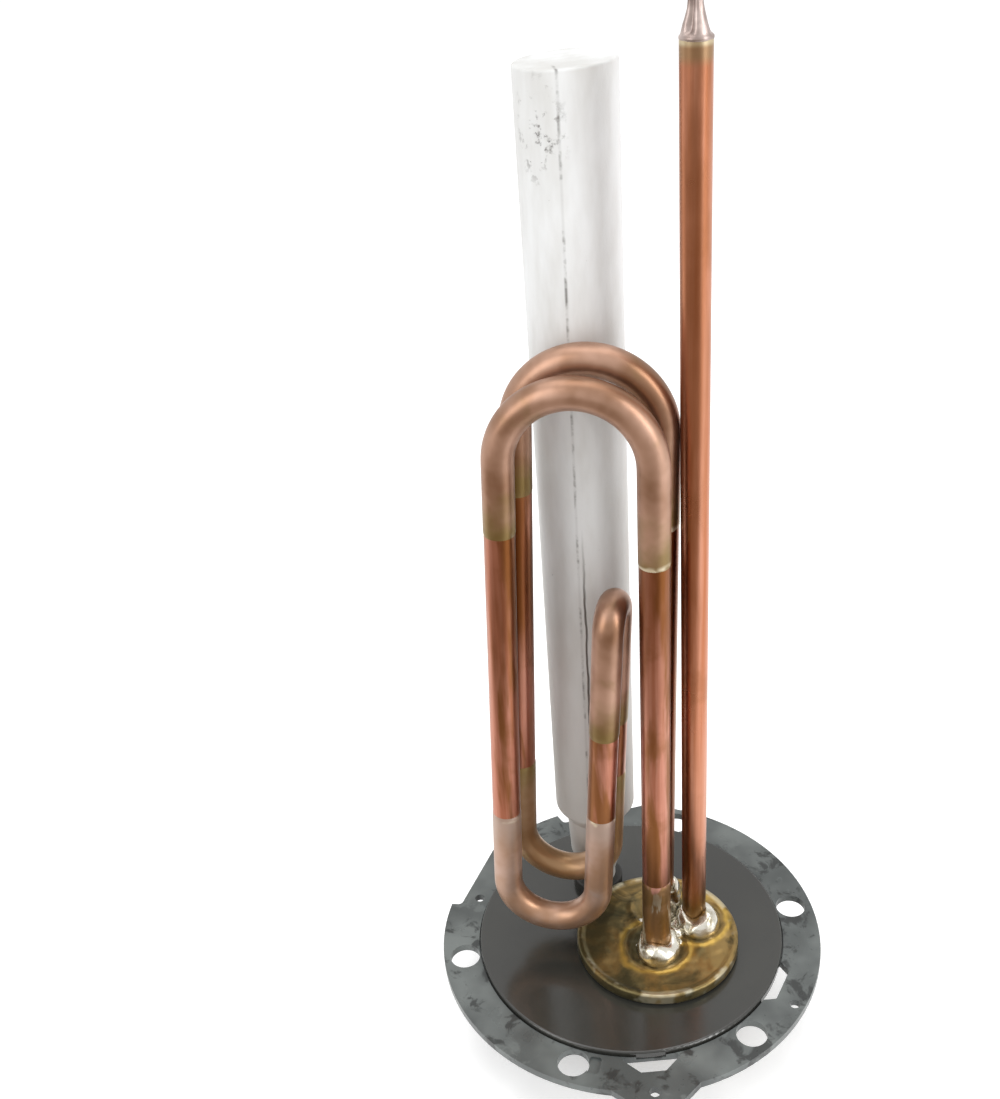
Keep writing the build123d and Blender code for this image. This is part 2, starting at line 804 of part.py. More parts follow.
export_step(anode_insulator.part, "parts/anode_insulator.step")
export_step(anode_washer.part, "parts/anode_washer.step")
export_step(anode_nut.part, "parts/anode_nut.step")
export_step(earth_stud.part, "parts/earth_stud.step")
export_step(earth_washer.part, "parts/earth_washer.step")
export_step(earth_nut.part, "parts/earth_nut.step")
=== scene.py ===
"""Immersion heater assembly of a storage water heater, dressed for rendering.

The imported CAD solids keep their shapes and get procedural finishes. The script adds the fine
forms that the solids leave out: thin skins on the softened bends, lumpy beads and drops of braze,
a crust of burnt flux on the head, the folds of the pocket's pinched tip and the screw threads. It
also sets up the studio around the part. Everything stands in the CAD frame, in metres, and a
value in millimetres or degrees says so in its name or in its class.
"""

import logging
from dataclasses import dataclass, field, replace
from enum import Enum
from math import cos, exp, hypot, pi, radians, sin, tan
from typing import Any, Optional

import bmesh
import bpy
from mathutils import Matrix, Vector, noise


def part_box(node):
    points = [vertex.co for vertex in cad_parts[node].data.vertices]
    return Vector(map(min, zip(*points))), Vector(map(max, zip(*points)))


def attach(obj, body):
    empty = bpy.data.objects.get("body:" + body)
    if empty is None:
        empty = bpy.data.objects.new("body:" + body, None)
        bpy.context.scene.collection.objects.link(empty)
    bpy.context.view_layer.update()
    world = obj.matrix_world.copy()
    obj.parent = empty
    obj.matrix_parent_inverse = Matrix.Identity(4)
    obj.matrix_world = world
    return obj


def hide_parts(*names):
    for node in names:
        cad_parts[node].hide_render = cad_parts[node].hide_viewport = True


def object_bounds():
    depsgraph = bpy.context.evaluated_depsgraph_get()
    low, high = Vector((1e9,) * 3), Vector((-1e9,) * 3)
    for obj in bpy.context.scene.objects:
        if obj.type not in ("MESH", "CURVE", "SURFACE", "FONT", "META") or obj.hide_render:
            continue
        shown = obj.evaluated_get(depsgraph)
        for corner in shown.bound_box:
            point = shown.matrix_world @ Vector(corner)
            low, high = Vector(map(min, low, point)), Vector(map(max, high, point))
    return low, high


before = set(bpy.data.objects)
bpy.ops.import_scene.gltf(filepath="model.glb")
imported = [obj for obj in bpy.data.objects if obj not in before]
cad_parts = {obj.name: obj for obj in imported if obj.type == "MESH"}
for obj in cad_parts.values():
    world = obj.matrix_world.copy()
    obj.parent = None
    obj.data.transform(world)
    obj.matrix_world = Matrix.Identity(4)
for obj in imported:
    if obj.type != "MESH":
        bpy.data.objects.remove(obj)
CAD_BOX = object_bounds()

LOG = logging.getLogger("heater_scene")
Pair = tuple[float, float]
Triple = tuple[float, float, float]

MM = 0.001
MM_PER_M = 1000.0

# Plan centres of the pieces that stand on the disc.
HEAD_CENTRE_MM = (7.398, -7.895)
ANODE_CENTRE_MM = (-6.0, 23.305)
POCKET_CENTRE_MM = (20.455, -4.07)

# Kinds and settings of the nodes that most trees use.
NOISE = "ShaderNodeTexNoise"
RANGE = "ShaderNodeMapRange"
SPLIT = "ShaderNodeSeparateXYZ"
VECTOR = "ShaderNodeVectorMath"
MATH = "ShaderNodeMath"
MIX = "ShaderNodeMix"
ADD = {"operation": "ADD"}
SUBTRACT = {"operation": "SUBTRACT"}
MULTIPLY = {"operation": "MULTIPLY"}
DIVIDE = {"operation": "DIVIDE"}
MINIMUM = {"operation": "MINIMUM"}
MAXIMUM = {"operation": "MAXIMUM"}
ABSOLUTE = {"operation": "ABSOLUTE"}
LENGTH = {"operation": "LENGTH"}
BLEND = {"data_type": "RGBA"}

# Sockets of a node that blends colours: three inputs and its output.
SHARE, UNDER, OVER, BLENDED = 0, 6, 7, 2


class Body(Enum):
    """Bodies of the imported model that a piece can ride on."""

    ROOT = "root"


class Leg(Enum):
    """Straight runs of the heating tube, in the order the tube passes them."""

    FRONT_RIGHT = "front right leg"
    FRONT_LEFT = "front left leg"
    FRONT_INNER = "front inner leg"
    REAR_INNER = "rear inner leg"
    REAR_LEFT = "rear left leg"
    REAR_RIGHT = "rear right leg"


def srgb(hex_code: str) -> tuple[float, float, float, float]:
    """Turn an sRGB hex code into a linear colour.

    Args:
        hex_code: Six hex digits, such as "8A6A3C".

    Returns:
        Linear red, green, blue and an alpha of 1.
    """
    values = [int(hex_code[i:i + 2], 16) / 255 for i in (0, 2, 4)]
    linear = [v / 12.92 if v <= 0.04045 else ((v + 0.055) / 1.055) ** 2.4 for v in values]
    return (linear[0], linear[1], linear[2], 1.0)


@dataclass(frozen=True)
class Grain:
    """Random pattern, sized by the real width of one blotch."""

    width_mm: float
    detail: float = 4.0
    rough: float = 0.55
    twist: float = 0.0

    def read(self, place: Any) -> dict[str, Any]:
        """Inputs that draw the pattern on some coordinates; a blotch is half a period wide."""
        return {"Vector": place, "Scale": MM_PER_M / self.width_mm / 2.0, "Detail": self.detail,
                "Roughness": self.rough, "Distortion": self.twist}


@dataclass(frozen=True)
class Fade:
    """Change from one amount to another while a value runs from a start to an end.

    A soft fade eases in and out, and the others are straight.
    """

    start: float
    end: float
    before: float = 0.0
    after: float = 1.0
    soft: bool = True

    def of(self, value: Any) -> tuple[dict[str, Any], dict[str, Any]]:
        """Fade along a value.

        Args:
            value: Value socket to follow.

        Returns:
            Inputs and settings of the node that maps the value.
        """
        inputs = {"Value": value, "From Min": self.start, "From Max": self.end,
                  "To Min": self.before, "To Max": self.after}
        return inputs, {"interpolation_type": "SMOOTHSTEP" if self.soft else "LINEAR"}


@dataclass(frozen=True)
class Patches:
    """Blotches that come through where the random pattern passes a fade."""

    grain: Grain
    fade: Fade

    def between(self, least: float, most: float) -> "Patches":
        """The same patches with other amounts outside and inside them."""
        return replace(self, fade=replace(self.fade, before=least, after=most))


@dataclass
class NodePen:
    """Draws nodes in one tree."""

    tree: bpy.types.NodeTree

    def add(self, kind: str, inputs: Optional[dict[Any, Any]] = None,
            settings: Optional[dict[str, Any]] = None, out: Any = 0) -> Any:
        """Add one node with its settings and links.

        Args:
            kind: Node type name, such as "ShaderNodeMix".
            inputs: A socket to link, a hex colour or a plain value for each input.
            settings: Node attributes to set.
            out: Name or number of the output that is wanted.

        Returns:
            Output socket of the new node, or None where it has none.
        """
        node = self.tree.nodes.new(kind)
        for name, value in (settings or {}).items():
            setattr(node, name, value)
        for key, given in (inputs or {}).items():
            socket = node.inputs[key]
            if isinstance(given, bpy.types.NodeSocket):
                self.tree.links.new(given, socket)
            else:
                socket.default_value = srgb(given) if socket.type == "RGBA" else given
        return node.outputs[out] if node.outputs else None


@dataclass
class MaterialPen(NodePen):
    """Draws one procedural material on object coordinates."""

    material: bpy.types.Material
    place: Any = None

    @classmethod
    def start(cls, name: str) -> "MaterialPen":
        """Start an empty material.

        Args:
            name: Name of the material.

        Returns:
            Pen whose place is the object's coordinates.
        """
        material = bpy.data.materials.new(name)
        material.use_nodes = True
        material.node_tree.nodes.clear()
        pen = cls(material.node_tree, material)
        pen.place = pen.add("ShaderNodeTexCoord", out="Object")
        return pen

    def shift(self, centre: Triple, scale: Triple = (1, 1, 1), turn: Triple = (0, 0, 0)) -> Any:
        """Object coordinates moved so that a centre becomes the zero point.

        Two patterns are also moved apart this way, so that their blotches don't coincide.

        Args:
            centre: Point in metres that becomes the origin.
            scale: Stretch of the pattern along each axis.
            turn: Turn about each axis in radians.

        Returns:
            Vector socket of the moved coordinates.
        """
        moved = self.add(VECTOR, {0: self.place, 1: centre}, SUBTRACT)
        return self.add("ShaderNodeMapping", {"Vector": moved, "Scale": scale, "Rotation": turn})

    def distance(self, centre: Triple, scale: Triple = (1, 1, 0)) -> Any:
        """Distance in metres from a point, or from an upright axis where the Z scale is 0."""
        return self.add(VECTOR, {0: self.shift(centre, scale)}, LENGTH, "Value")

    def cover(self, patches: Patches, place: Any = None) -> Any:
        """Share of a surface that some patches take.

        Args:
            patches: Patches to draw.
            place: Coordinates to read, or None for the object's own.

        Returns:
            Value socket.
        """
        pattern = self.add(NOISE, patches.grain.read(self.place if place is None else place))
        return self.add(RANGE, *patches.fade.of(pattern))

    def coat(self, base: Any, *coats: tuple[Any, str]) -> Any:
        """Lay coats of colour over a base, one after another.

        Args:
            base: Colour socket or hex code of the base.
            coats: Value socket of the share that shows, and hex code, for each coat.

        Returns:
            Colour socket.
        """
        for share, colour in coats:
            base = self.add(MIX, {SHARE: share, UNDER: base, OVER: colour}, BLEND, BLENDED)
        return base

    def dress(self, colour: Any, rough: Any, metal: float, bump: Any, depth_mm: float,
              **fixed: float) -> bpy.types.Material:
        """Connect the finish to the shader.

        Args:
            colour: Colour socket or hex code.
            rough: Roughness socket or number.
            metal: Metallic value.
            bump: Height socket.
            depth_mm: Height of the bump in millimetres.
            fixed: Other shader inputs by name.

        Returns:
            The finished material.
        """
        relief = self.add("ShaderNodeBump", {"Height": bump, "Distance": depth_mm * MM})
        shader = self.add("ShaderNodeBsdfPrincipled", {"Base Color": colour, "Roughness": rough,
                                                       "Metallic": metal, "Normal": relief, **fixed})
        return self.close(shader)

    def close(self, shader: Any) -> bpy.types.Material:
        """Connect the material's surface and return the finished material."""
        self.add("ShaderNodeOutputMaterial", {"Surface": shader})
        return self.material


@dataclass(frozen=True)
class DrawnCopper:
    """Drawn copper tube, used in hot water.

    The drawing die leaves fine streaks along the tube, so its shine runs in soft bands. Scale and
    heat leave long olive-brown stains on the pink metal. High on the legs, just below the top
    bends, a brown wash also comes in over broad patches.
    The real streaks and grain are a few tenths of a millimetre wide, and are drawn about 1 mm wide
    so that they show.
    """

    name: str = "drawn_copper"
    bright: str = "CB9584"
    deep: str = "AE6E55"
    stain: str = "84562F"
    wash: str = "7A4A26"
    streaks: Patches = Patches(Grain(1.2, 3.0, 0.6), Fade(0.3, 0.72, soft=False))
    streak_long_mm: float = 60.0
    tongues: Patches = Patches(Grain(4.5, 4.0, 0.55, 0.2), Fade(0.46, 0.58))
    tongue_long_mm: float = 34.0
    tongue_start: Triple = (0.01, 0.02, 0.0)
    stained: float = 0.9
    blotches: Patches = Patches(Grain(9.0, 4.0, 0.6), Fade(0.52, 0.7, 0.0, 0.45))
    broad: Patches = Patches(Grain(6.0, 3.0, 0.5, 0.2), Fade(0.32, 0.48))
    washed: Fade = Fade(0.088, 0.128, 0.0, 0.85)
    sheen: Patches = Patches(Grain(11.0, 3.0, 0.6), Fade(0.35, 0.65, 0.27, 0.38, soft=False))
    grain: Grain = Grain(0.9, 3.0, 0.6)
    grain_deep_mm: float = 0.008

    def make(self) -> bpy.types.Material:
        """Build the material: die streaks, long brown stains and a soft sheen."""
        pen = MaterialPen.start(self.name)
        return self.finish(pen, self.base(pen))

    def base(self, pen: MaterialPen) -> Any:
        """Draw the metal between the ends of a tube.

        Args:
            pen: Pen of the material.

        Returns:
            Colour socket.
        """
        drawn = pen.shift((0, 0, 0), (1, 1, self.streaks.grain.width_mm / self.streak_long_mm))
        long = pen.shift(self.tongue_start,
                         (1, 1, self.tongues.grain.width_mm / self.tongue_long_mm))
        height = pen.add(SPLIT, {0: pen.place}, out="Z")
        # Brown wash over broad patches, which grows in with height towards the top bends.
        upper_legs = pen.add(RANGE, *self.washed.of(height))
        brown = pen.add(MATH, {0: pen.cover(self.broad, long), 1: upper_legs}, MULTIPLY)
        return pen.coat(self.deep,
                        (pen.cover(self.streaks, drawn), self.bright),
                        (pen.cover(self.tongues.between(0.0, self.stained), long), self.stain),
                        (pen.cover(self.blotches), self.stain),
                        (brown, self.wash))

    def finish(self, pen: MaterialPen, colour: Any) -> bpy.types.Material:
        """Give the colour its uneven sheen and fine relief, and return the material."""
        grain = pen.add(NOISE, self.grain.read(pen.place))
        return pen.dress(colour, pen.cover(self.sheen), 1.0, grain, self.grain_deep_mm)


@dataclass(frozen=True)
class PocketCopper(DrawnCopper):
    """Drawn copper of the thermostat pocket: browner, scorched where its ends were brazed."""

    name: str = "drawn_copper_pocket"
    bright: str = "CC937A"
    deep: str = "B06E4C"
    stain: str = "9C6442"
    stained: float = 0.5
    washed: Fade = Fade(0.088, 0.128, 0.0, 0.0)
    foot_stain: str = "7A6234"
    foot_edge: Patches = Patches(Grain(5.0, 3.0), Fade(0.3, 0.7, -0.003, 0.003, soft=False))
    foot: Fade = Fade(0.014, 0.024, 0.8, 0.0)
    head_olive: str = "9C8666"
    head: Fade = Fade(0.2668, 0.2668 + 0.003, 0.0, 0.75)
    head_amber: str = "CDBE9E"
    head_rim: Fade = Fade(0.2722 - 0.0012, 0.2722, 0.0, 0.9)

    def make(self) -> bpy.types.Material:
        """Build the material: brown metal, olive at the foot, olive and amber under the tip.

        Returns:
            The finished material.
        """
        pen = MaterialPen.start(self.name)
        height = pen.add(SPLIT, {0: pen.place}, out="Z")
        ragged = pen.add(MATH, {0: height, 1: pen.cover(self.foot_edge)}, ADD)
        colour = pen.coat(self.base(pen),
                          (pen.add(RANGE, *self.foot.of(ragged)), self.foot_stain),
                          (pen.add(RANGE, *self.head.of(height)), self.head_olive),
                          (pen.add(RANGE, *self.head_rim.of(height)), self.head_amber))
        return self.finish(pen, colour)


@dataclass(frozen=True)
class AnnealedCopper:
    """Copper dulled by the flame that softened it for bending.

    The oxide skin takes the shine off, so the bends look cloudy pink-brown with a broad soft
    highlight. Towards its ends the skin turns olive, with a pale broken rim and a dark line; the
    pale rim is painted highlight where light catches the skin's step. The skin's end_mm
    attribute gives each point's way to the nearer end in millimetres. The grain is drawn coarser
    than the real one so that it shows.
    """

    name: str = "annealed_copper"
    pale: str = "BC9884"
    brown: str = "8C6850"
    olive: str = "7C6A3C"
    rim: str = "E4DAC0"
    # Pale colour of the broken rim: painted highlight where light catches the skin's step.
    line: str = "4A3824"
    metal: float = 0.85
    clouds: Patches = Patches(Grain(15.0, 4.0, 0.55), Fade(0.38, 0.64))
    end_edge: Patches = Patches(Grain(6.0, 3.0), Fade(0.3, 0.7, -5.0, 5.0, soft=False))
    end: Fade = Fade(1.0, 16.0, 0.85, 0.0)
    olive_patches: Patches = Patches(Grain(8.0, 3.0, 0.6, 0.4), Fade(0.58, 0.72))
    patchy: float = 0.35
    flecks: Patches = Patches(Grain(3.6, 2.0), Fade(0.52, 0.6, 0.0, 0.8))
    highlight_rim: Fade = Fade(0.9, 2.6, 1.0, 0.0)
    line_rim: Fade = Fade(0.2, 0.55, 0.5, 0.0, soft=False)
    sheen: Fade = Fade(0.0, 1.0, 0.36, 0.46, soft=False)
    grain: Grain = Grain(0.9, 3.0, 0.6)
    grain_deep_mm: float = 0.012

    def make(self) -> bpy.types.Material:
        """Build the material: cloudy skin, olive ends, a broken pale rim of painted highlight and a dark
        line.

        Returns:
            The finished material.
        """
        pen = MaterialPen.start(self.name)
        cloud = pen.cover(self.clouds)
        end = pen.add("ShaderNodeAttribute", None, {"attribute_name": "end_mm"}, "Fac")
        ragged = pen.add(MATH, {0: end, 1: pen.cover(self.end_edge)}, ADD)
        # Pale broken rim near each end: painted highlight of the skin's step.
        rim = pen.add(RANGE, *self.highlight_rim.of(end))
        rim_highlight_share = pen.add(MATH, {0: pen.cover(self.flecks), 1: rim}, MULTIPLY)
        colour = pen.coat(self.brown,
                          (cloud, self.pale),
                          (pen.add(RANGE, *self.end.of(ragged)), self.olive),
                          (pen.cover(self.olive_patches.between(0.0, self.patchy)), self.olive),
                          (rim_highlight_share, self.rim),
                          (pen.add(RANGE, *self.line_rim.of(end)), self.line))
        grain = pen.add(NOISE, self.grain.read(pen.place))
        rough = pen.add(RANGE, *self.sheen.of(cloud))
        return pen.dress(colour, rough, self.metal, grain, self.grain_deep_mm)


@dataclass(frozen=True)
class ScorchedCopper:
    """Copper foot scorched by brazing: olive-brown skin, flecks of silver, ragged upper edge."""

    name: str = "scorched_copper"
    pink: str = "C48D7C"
    olive: str = "86663E"
    brown: str = "9A7652"
    fleck: str = "E0D9C8"
    metal: float = 0.9
    rough: float = 0.36
    stretch: float = 0.25
    clouds: Patches = Patches(Grain(6.0, 4.0, 0.6, 0.4), Fade(0.4, 0.62))
    flecks: Patches = Patches(Grain(1.8, 3.0, 0.6), Fade(0.54, 0.62, 0.0, 0.9))
    fleck_height: Fade = Fade(0.018, 0.03, 1.0, 0.25, soft=False)
    tongues: Patches = Patches(Grain(5.0, 3.0, 0.5), Fade(0.36, 0.62, -9.0, 2.0, soft=False))
    tongue_edge: Fade = Fade(0.0, 1.6, 1.0, 0.0)
    tongue_height: Fade = Fade(0.022, 0.026)
    grain: Grain = Grain(1.6, 3.0, 0.6)
    grain_deep_mm: float = 0.06

    def make(self) -> bpy.types.Material:
        """Build the material: the pink metal runs down into the scorch in tongues.

        Returns:
            The finished material.
        """
        pen = MaterialPen.start(self.name)
        tall = pen.shift((0, 0, 0), (1, 1, self.stretch))
        height = pen.add(SPLIT, {0: pen.place}, out="Z")
        low = pen.add(RANGE, *self.fleck_height.of(height))
        silver = pen.add(MATH, {0: pen.cover(self.flecks, tall), 1: low}, MULTIPLY)
        end = pen.add("ShaderNodeAttribute", None, {"attribute_name": "end_mm"}, "Fac")
        ragged = pen.add(MATH, {0: end, 1: pen.cover(self.tongues, tall)}, ADD)
        edge = pen.add(RANGE, *self.tongue_edge.of(ragged))
        top = pen.add(RANGE, *self.tongue_height.of(height))
        bare = pen.add(MATH, {0: edge, 1: top}, MULTIPLY)
        colour = pen.coat(self.olive, (pen.cover(self.clouds), self.brown), (silver, self.fleck),
                          (bare, self.pink))
        grain = pen.add(NOISE, self.grain.read(tall))
        return pen.dress(colour, self.rough, self.metal, grain, self.grain_deep_mm)


@dataclass(frozen=True)
class StainedBrass:
    """Turned brass head under a skin of burnt flux.

    Brazing leaves olive and amber clouds on it, and dark rings round the tubes' feet with a golden
    ring outside them. Its left side is darkened by painted shade, and its lip is painted pale in
    patches as painted highlight.
    """

    name: str = "stained_brass"
    centre: Triple = (0.0074, -0.0079, 0.0)
    feet: tuple[Triple, ...] = ((0.00609, -0.0129, 0.0), (0.0205, -0.0043, 0.0))
    olive: str = "675C3A"
    amber: str = "8E7546"
    # Dark of the blots and burnt rings, and also of the painted shade on the left side.
    dark: str = "3B3620"
    gold: str = "C4A04A"
    # Pale colour of the lip's patches: painted highlight.
    pale: str = "C4BFA8"
    metal: float = 0.75
    clouds: Patches = Patches(Grain(9.0, 5.0, 0.6, 0.6), Fade(0.4, 0.6))
    blots: Patches = Patches(Grain(7.0, 4.0, 0.6, 0.8), Fade(0.5, 0.66, 0.0, 0.85))
    blot_start: Triple = (0.03, 0.01, 0)
    # Painted shade: the left side of the head darkens.
    painted_shade_left: Fade = Fade(-0.024, -0.006, 0.45, 0.0)
    ring_edge: Patches = Patches(Grain(5.0, 3.0, 0.6), Fade(0.3, 0.7, -0.0011, 0.0011, soft=False))
    burnt_ring: Fade = Fade(8.6 * MM, 9.6 * MM, 0.7, 0.0)
    gold_inside: Fade = Fade(9.6 * MM, 11.2 * MM, 0.0, 0.65)
    gold_outside: Fade = Fade(11.2 * MM, 13.0 * MM, 1.0, 0.0)
    # Patches of painted highlight on the lip, inside the band that lip sets.
    rubbed: Patches = Patches(Grain(4.5, 3.0), Fade(0.5, 0.64, 0.0, 0.55))
    lip: Fade = Fade(0.0239 - 0.0006, 0.0239 + 0.0004, soft=False)
    sheen: Fade = Fade(0.0, 0.85, 0.34, 0.5, soft=False)
    grain: Grain = Grain(1.8, 4.0, 0.6)
    grain_deep_mm: float = 0.07

    def make(self) -> bpy.types.Material:
        """Build the material: clouds, painted shade on the left side, rings round the feet and painted
        highlight on the lip.

        Returns:
            The finished material.
        """
        pen = MaterialPen.start(self.name)
        blot = pen.cover(self.blots, pen.shift(self.blot_start))
        across = pen.add(SPLIT, {0: pen.shift(self.centre)}, out="X")
        # The last dark coat, on the left side, is painted shade.
        colour = pen.coat(self.olive, (pen.cover(self.clouds), self.amber), (blot, self.dark),
                          (pen.add(RANGE, *self.painted_shade_left.of(across)), self.dark))
        wobble = pen.cover(self.ring_edge)
        for foot in self.feet:
            far = pen.add(MATH, {0: pen.distance(foot), 1: wobble}, ADD)
            rise = pen.add(RANGE, *self.gold_inside.of(far))
            fall = pen.add(RANGE, *self.gold_outside.of(far))
            golden = pen.add(MATH, {0: rise, 1: fall}, MULTIPLY)
            burnt = pen.add(RANGE, *self.burnt_ring.of(far))
            colour = pen.coat(colour, (golden, self.gold), (burnt, self.dark))
        # Painted highlight: pale patches on the lip.
        lip = pen.add(RANGE, *self.lip.of(pen.distance(self.centre)))
        painted_lip_highlight = pen.add(MATH, {0: lip, 1: pen.cover(self.rubbed)}, MULTIPLY)
        colour = pen.coat(colour, (painted_lip_highlight, self.pale))
        grain = pen.add(NOISE, self.grain.read(pen.place))
        rough = pen.add(RANGE, *self.sheen.of(blot))
        return pen.dress(colour, rough, self.metal, grain, self.grain_deep_mm)


@dataclass(frozen=True)
class GreyCoating:
    """Steel under a thin grey coating: cloudy satin face with scuffs and small dark spots."""

    name: str
    face: str
    light: str
    dark: str
    gloss: float
    uneven: float
    scuff: float
    worn: float = 0.0
    index: float = 1.5
    clouds: Patches = Patches(Grain(12.0, 3.0, 0.5), Fade(0.35, 0.68))
    spots: Patches = Patches(Grain(4.2, 4.0, 0.62, 0.5), Fade(0.54, 0.63))
    rubs: Patches = Patches(Grain(5.5, 4.0, 0.66, 0.3), Fade(0.58, 0.68))
    rub_start: Triple = (0.07, 0.03, 0.0)
    specks: Patches = Patches(Grain(0.7, 2.0), Fade(0.68, 0.78, 0.0, 0.5, soft=False))
    sheen: Patches = Patches(Grain(5.0, 3.0), Fade(0.3, 0.7, soft=False))
    glossier: float = 0.6
    grain: Grain = Grain(1.1, 3.0)
    grain_deep_mm: float = 0.02

    def make(self) -> bpy.types.Material:
        """Build the material: soft clouds, dark spots, rubbed places and fine speckle.

        Returns:
            The finished material.
        """
        pen = MaterialPen.start(self.name)
        rubbed = pen.cover(self.rubs.between(0.0, self.worn), pen.shift(self.rub_start))
        colour = pen.coat(self.face,
                          (pen.cover(self.clouds), self.light),
                          (pen.cover(self.spots.between(0.0, self.scuff)), self.dark),
                          (rubbed, self.light),
                          (pen.cover(self.specks), self.light))
        rough = pen.cover(self.sheen.between(self.gloss - self.uneven * self.glossier,
                                             self.gloss + self.uneven))
        grain = pen.add(NOISE, self.grain.read(pen.place))
        return pen.dress(colour, rough, 0.0, grain, self.grain_deep_mm, IOR=self.index)


@dataclass(frozen=True)
class CastMagnesium:
    """Cast magnesium rod: chalky pale grey skin, fine pits, a parting line and a dark seam.

    The skin is greyer towards the foot. One place near the top is pitted coarsely.
    """

    name: str = "cast_magnesium"
    centre: Triple = (-0.006, 0.0233, 0.0)
    # Greyer colour that comes in towards the foot.
    foot_grey: str = "A39E95"
    pale: str = "DBDCDC"
    grey: str = "C6C5C2"
    dark: str = "5C5853"
    rough: float = 0.58
    stretch: float = 0.25
    clouds: Patches = Patches(Grain(7.0, 4.0, 0.55), Fade(0.35, 0.68))
    pits: Patches = Patches(Grain(1.1, 3.0, 0.7), Fade(0.68, 0.75, soft=False))
    pit_groups: Patches = Patches(Grain(14.0, 2.0), Fade(0.6, 0.7, soft=False))
    pit_start: Triple = (0.2, 0.1, 0.0)
    coarse_pits: Patches = Patches(Grain(1.8, 4.0, 0.7), Fade(0.55, 0.64, soft=False))
    pitted_spot: Triple = (-0.0147, 0.014, 0.252)
    pitted_shape: Triple = (1, 1, 0.6)
    pitted: Fade = Fade(0.002, 0.0085, 1.0, 0.0, soft=False)
    foot: Fade = Fade(0.03, 0.2, 0.55, 0.0)
    parting_x: float = -0.004
    parting: Fade = Fade(0.0001, 0.0005, 1.0, 0.0, soft=False)
    parting_front: Fade = Fade(-0.006, -0.005, 1.0, 0.0, soft=False)
    parting_dots: Patches = Patches(Grain(5.0, 4.0, 0.7), Fade(0.5, 0.62, 0.12, 0.8, soft=False))
    seam_wander: Patches = Patches(Grain(9.0, 3.0, 0.6), Fade(0.3, 0.7, 0.0023, 0.0029, soft=False))
    seam: Fade = Fade(0.0001, 0.0004, 1.0, 0.0, soft=False)
    seam_front: Fade = Fade(-0.011, -0.01, 1.0, 0.0, soft=False)
    seam_low: Fade = Fade(0.05, 0.07, soft=False)
    seam_high: Fade = Fade(0.12, 0.147, 1.0, 0.0, soft=False)
    grain: Grain = Grain(0.8, 4.0, 0.65)
    grain_share: float = 0.35
    relief_mm: float = 0.25

    def make(self) -> bpy.types.Material:
        """Build the material: pale cloudy skin, pits, parting line and seam.

        Returns:
            The finished material.
        """
        pen = MaterialPen.start(self.name)
        near = pen.add(SPLIT, {0: pen.shift(self.centre)}).node.outputs
        height = pen.add(SPLIT, {0: pen.place}, out="Z")
        cloud = pen.cover(self.clouds, pen.shift(self.centre, (1, 1, self.stretch)))
        pits = self.all_pits(pen)
        seam = self.shrink_seam(pen, near["X"], near["Y"], height)
        colour = pen.coat(self.pale, (cloud, self.grey), (pits, self.dark),
                          (pen.add(RANGE, *self.foot.of(height)), self.foot_grey),
                          (self.parting_line(pen, near["X"], near["Y"]), self.dark),
                          (seam, self.dark))
        sunk = [pen.add(MATH, {0: hollow, 1: -1.0}, MULTIPLY) for hollow in (pits, seam)]
        grain = pen.add(NOISE, self.grain.read(pen.place))
        fine = pen.add(MATH, {0: grain, 1: self.grain_share}, MULTIPLY)
        hollows = pen.add(MATH, {0: sunk[0], 1: sunk[1]}, ADD)
        relief = pen.add(MATH, {0: hollows, 1: fine}, ADD)
        return pen.dress(colour, self.rough, 0.0, relief, self.relief_mm)

    def all_pits(self, pen: MaterialPen) -> Any:
        """Draw the fine pits in loose groups, and the coarse ones in the pitted spot near the top.

        Args:
            pen: Pen of the material.

        Returns:
            Value socket, 1 in a pit.
        """
        groups = pen.cover(self.pit_groups, pen.shift(self.pit_start))
        fine = pen.add(MATH, {0: pen.cover(self.pits), 1: groups}, MULTIPLY)
        inside = pen.add(RANGE, *self.pitted.of(pen.distance(self.pitted_spot, self.pitted_shape)))
        coarse = pen.add(MATH, {0: pen.cover(self.coarse_pits), 1: inside}, MULTIPLY)
        return pen.add(MATH, {0: fine, 1: coarse}, MAXIMUM)

    def parting_line(self, pen: MaterialPen, across: Any, ahead: Any) -> Any:
        """Draw the dotted line that the two halves of the mould left.

        Args:
            pen: Pen of the material.
            across: X of the point from the rod's axis.
            ahead: Y of the point from the rod's axis.

        Returns:
            Value socket, 1 on the line.
        """
        off = pen.add(MATH, {0: across, 1: self.parting_x}, SUBTRACT)
        line = pen.add(RANGE, *self.parting.of(pen.add(MATH, {0: off}, ABSOLUTE)))
        front = pen.add(RANGE, *self.parting_front.of(ahead))
        line = pen.add(MATH, {0: line, 1: front}, MULTIPLY)
        return pen.add(MATH, {0: line, 1: pen.cover(self.parting_dots)}, MULTIPLY)

    def shrink_seam(self, pen: MaterialPen, across: Any, ahead: Any, height: Any) -> Any:
        """Draw the wandering seam where the casting shrank, on a part of its height.

        Args:
            pen: Pen of the material.
            across: X of the point from the rod's axis.
            ahead: Y of the point from the rod's axis.
            height: Z of the point.

        Returns:
            Value socket, 1 in the seam.
        """
        off = pen.add(MATH, {0: across, 1: pen.cover(self.seam_wander)}, ADD)
        line = pen.add(RANGE, *self.seam.of(pen.add(MATH, {0: off}, ABSOLUTE)))
        front = pen.add(RANGE, *self.seam_front.of(ahead))
        low = pen.add(RANGE, *self.seam_low.of(height))
        high = pen.add(RANGE, *self.seam_high.of(height))
        flat = pen.add(MATH, {0: line, 1: front}, MULTIPLY)
        tall = pen.add(MATH, {0: low, 1: high}, MULTIPLY)
        return pen.add(MATH, {0: flat, 1: tall}, MULTIPLY)


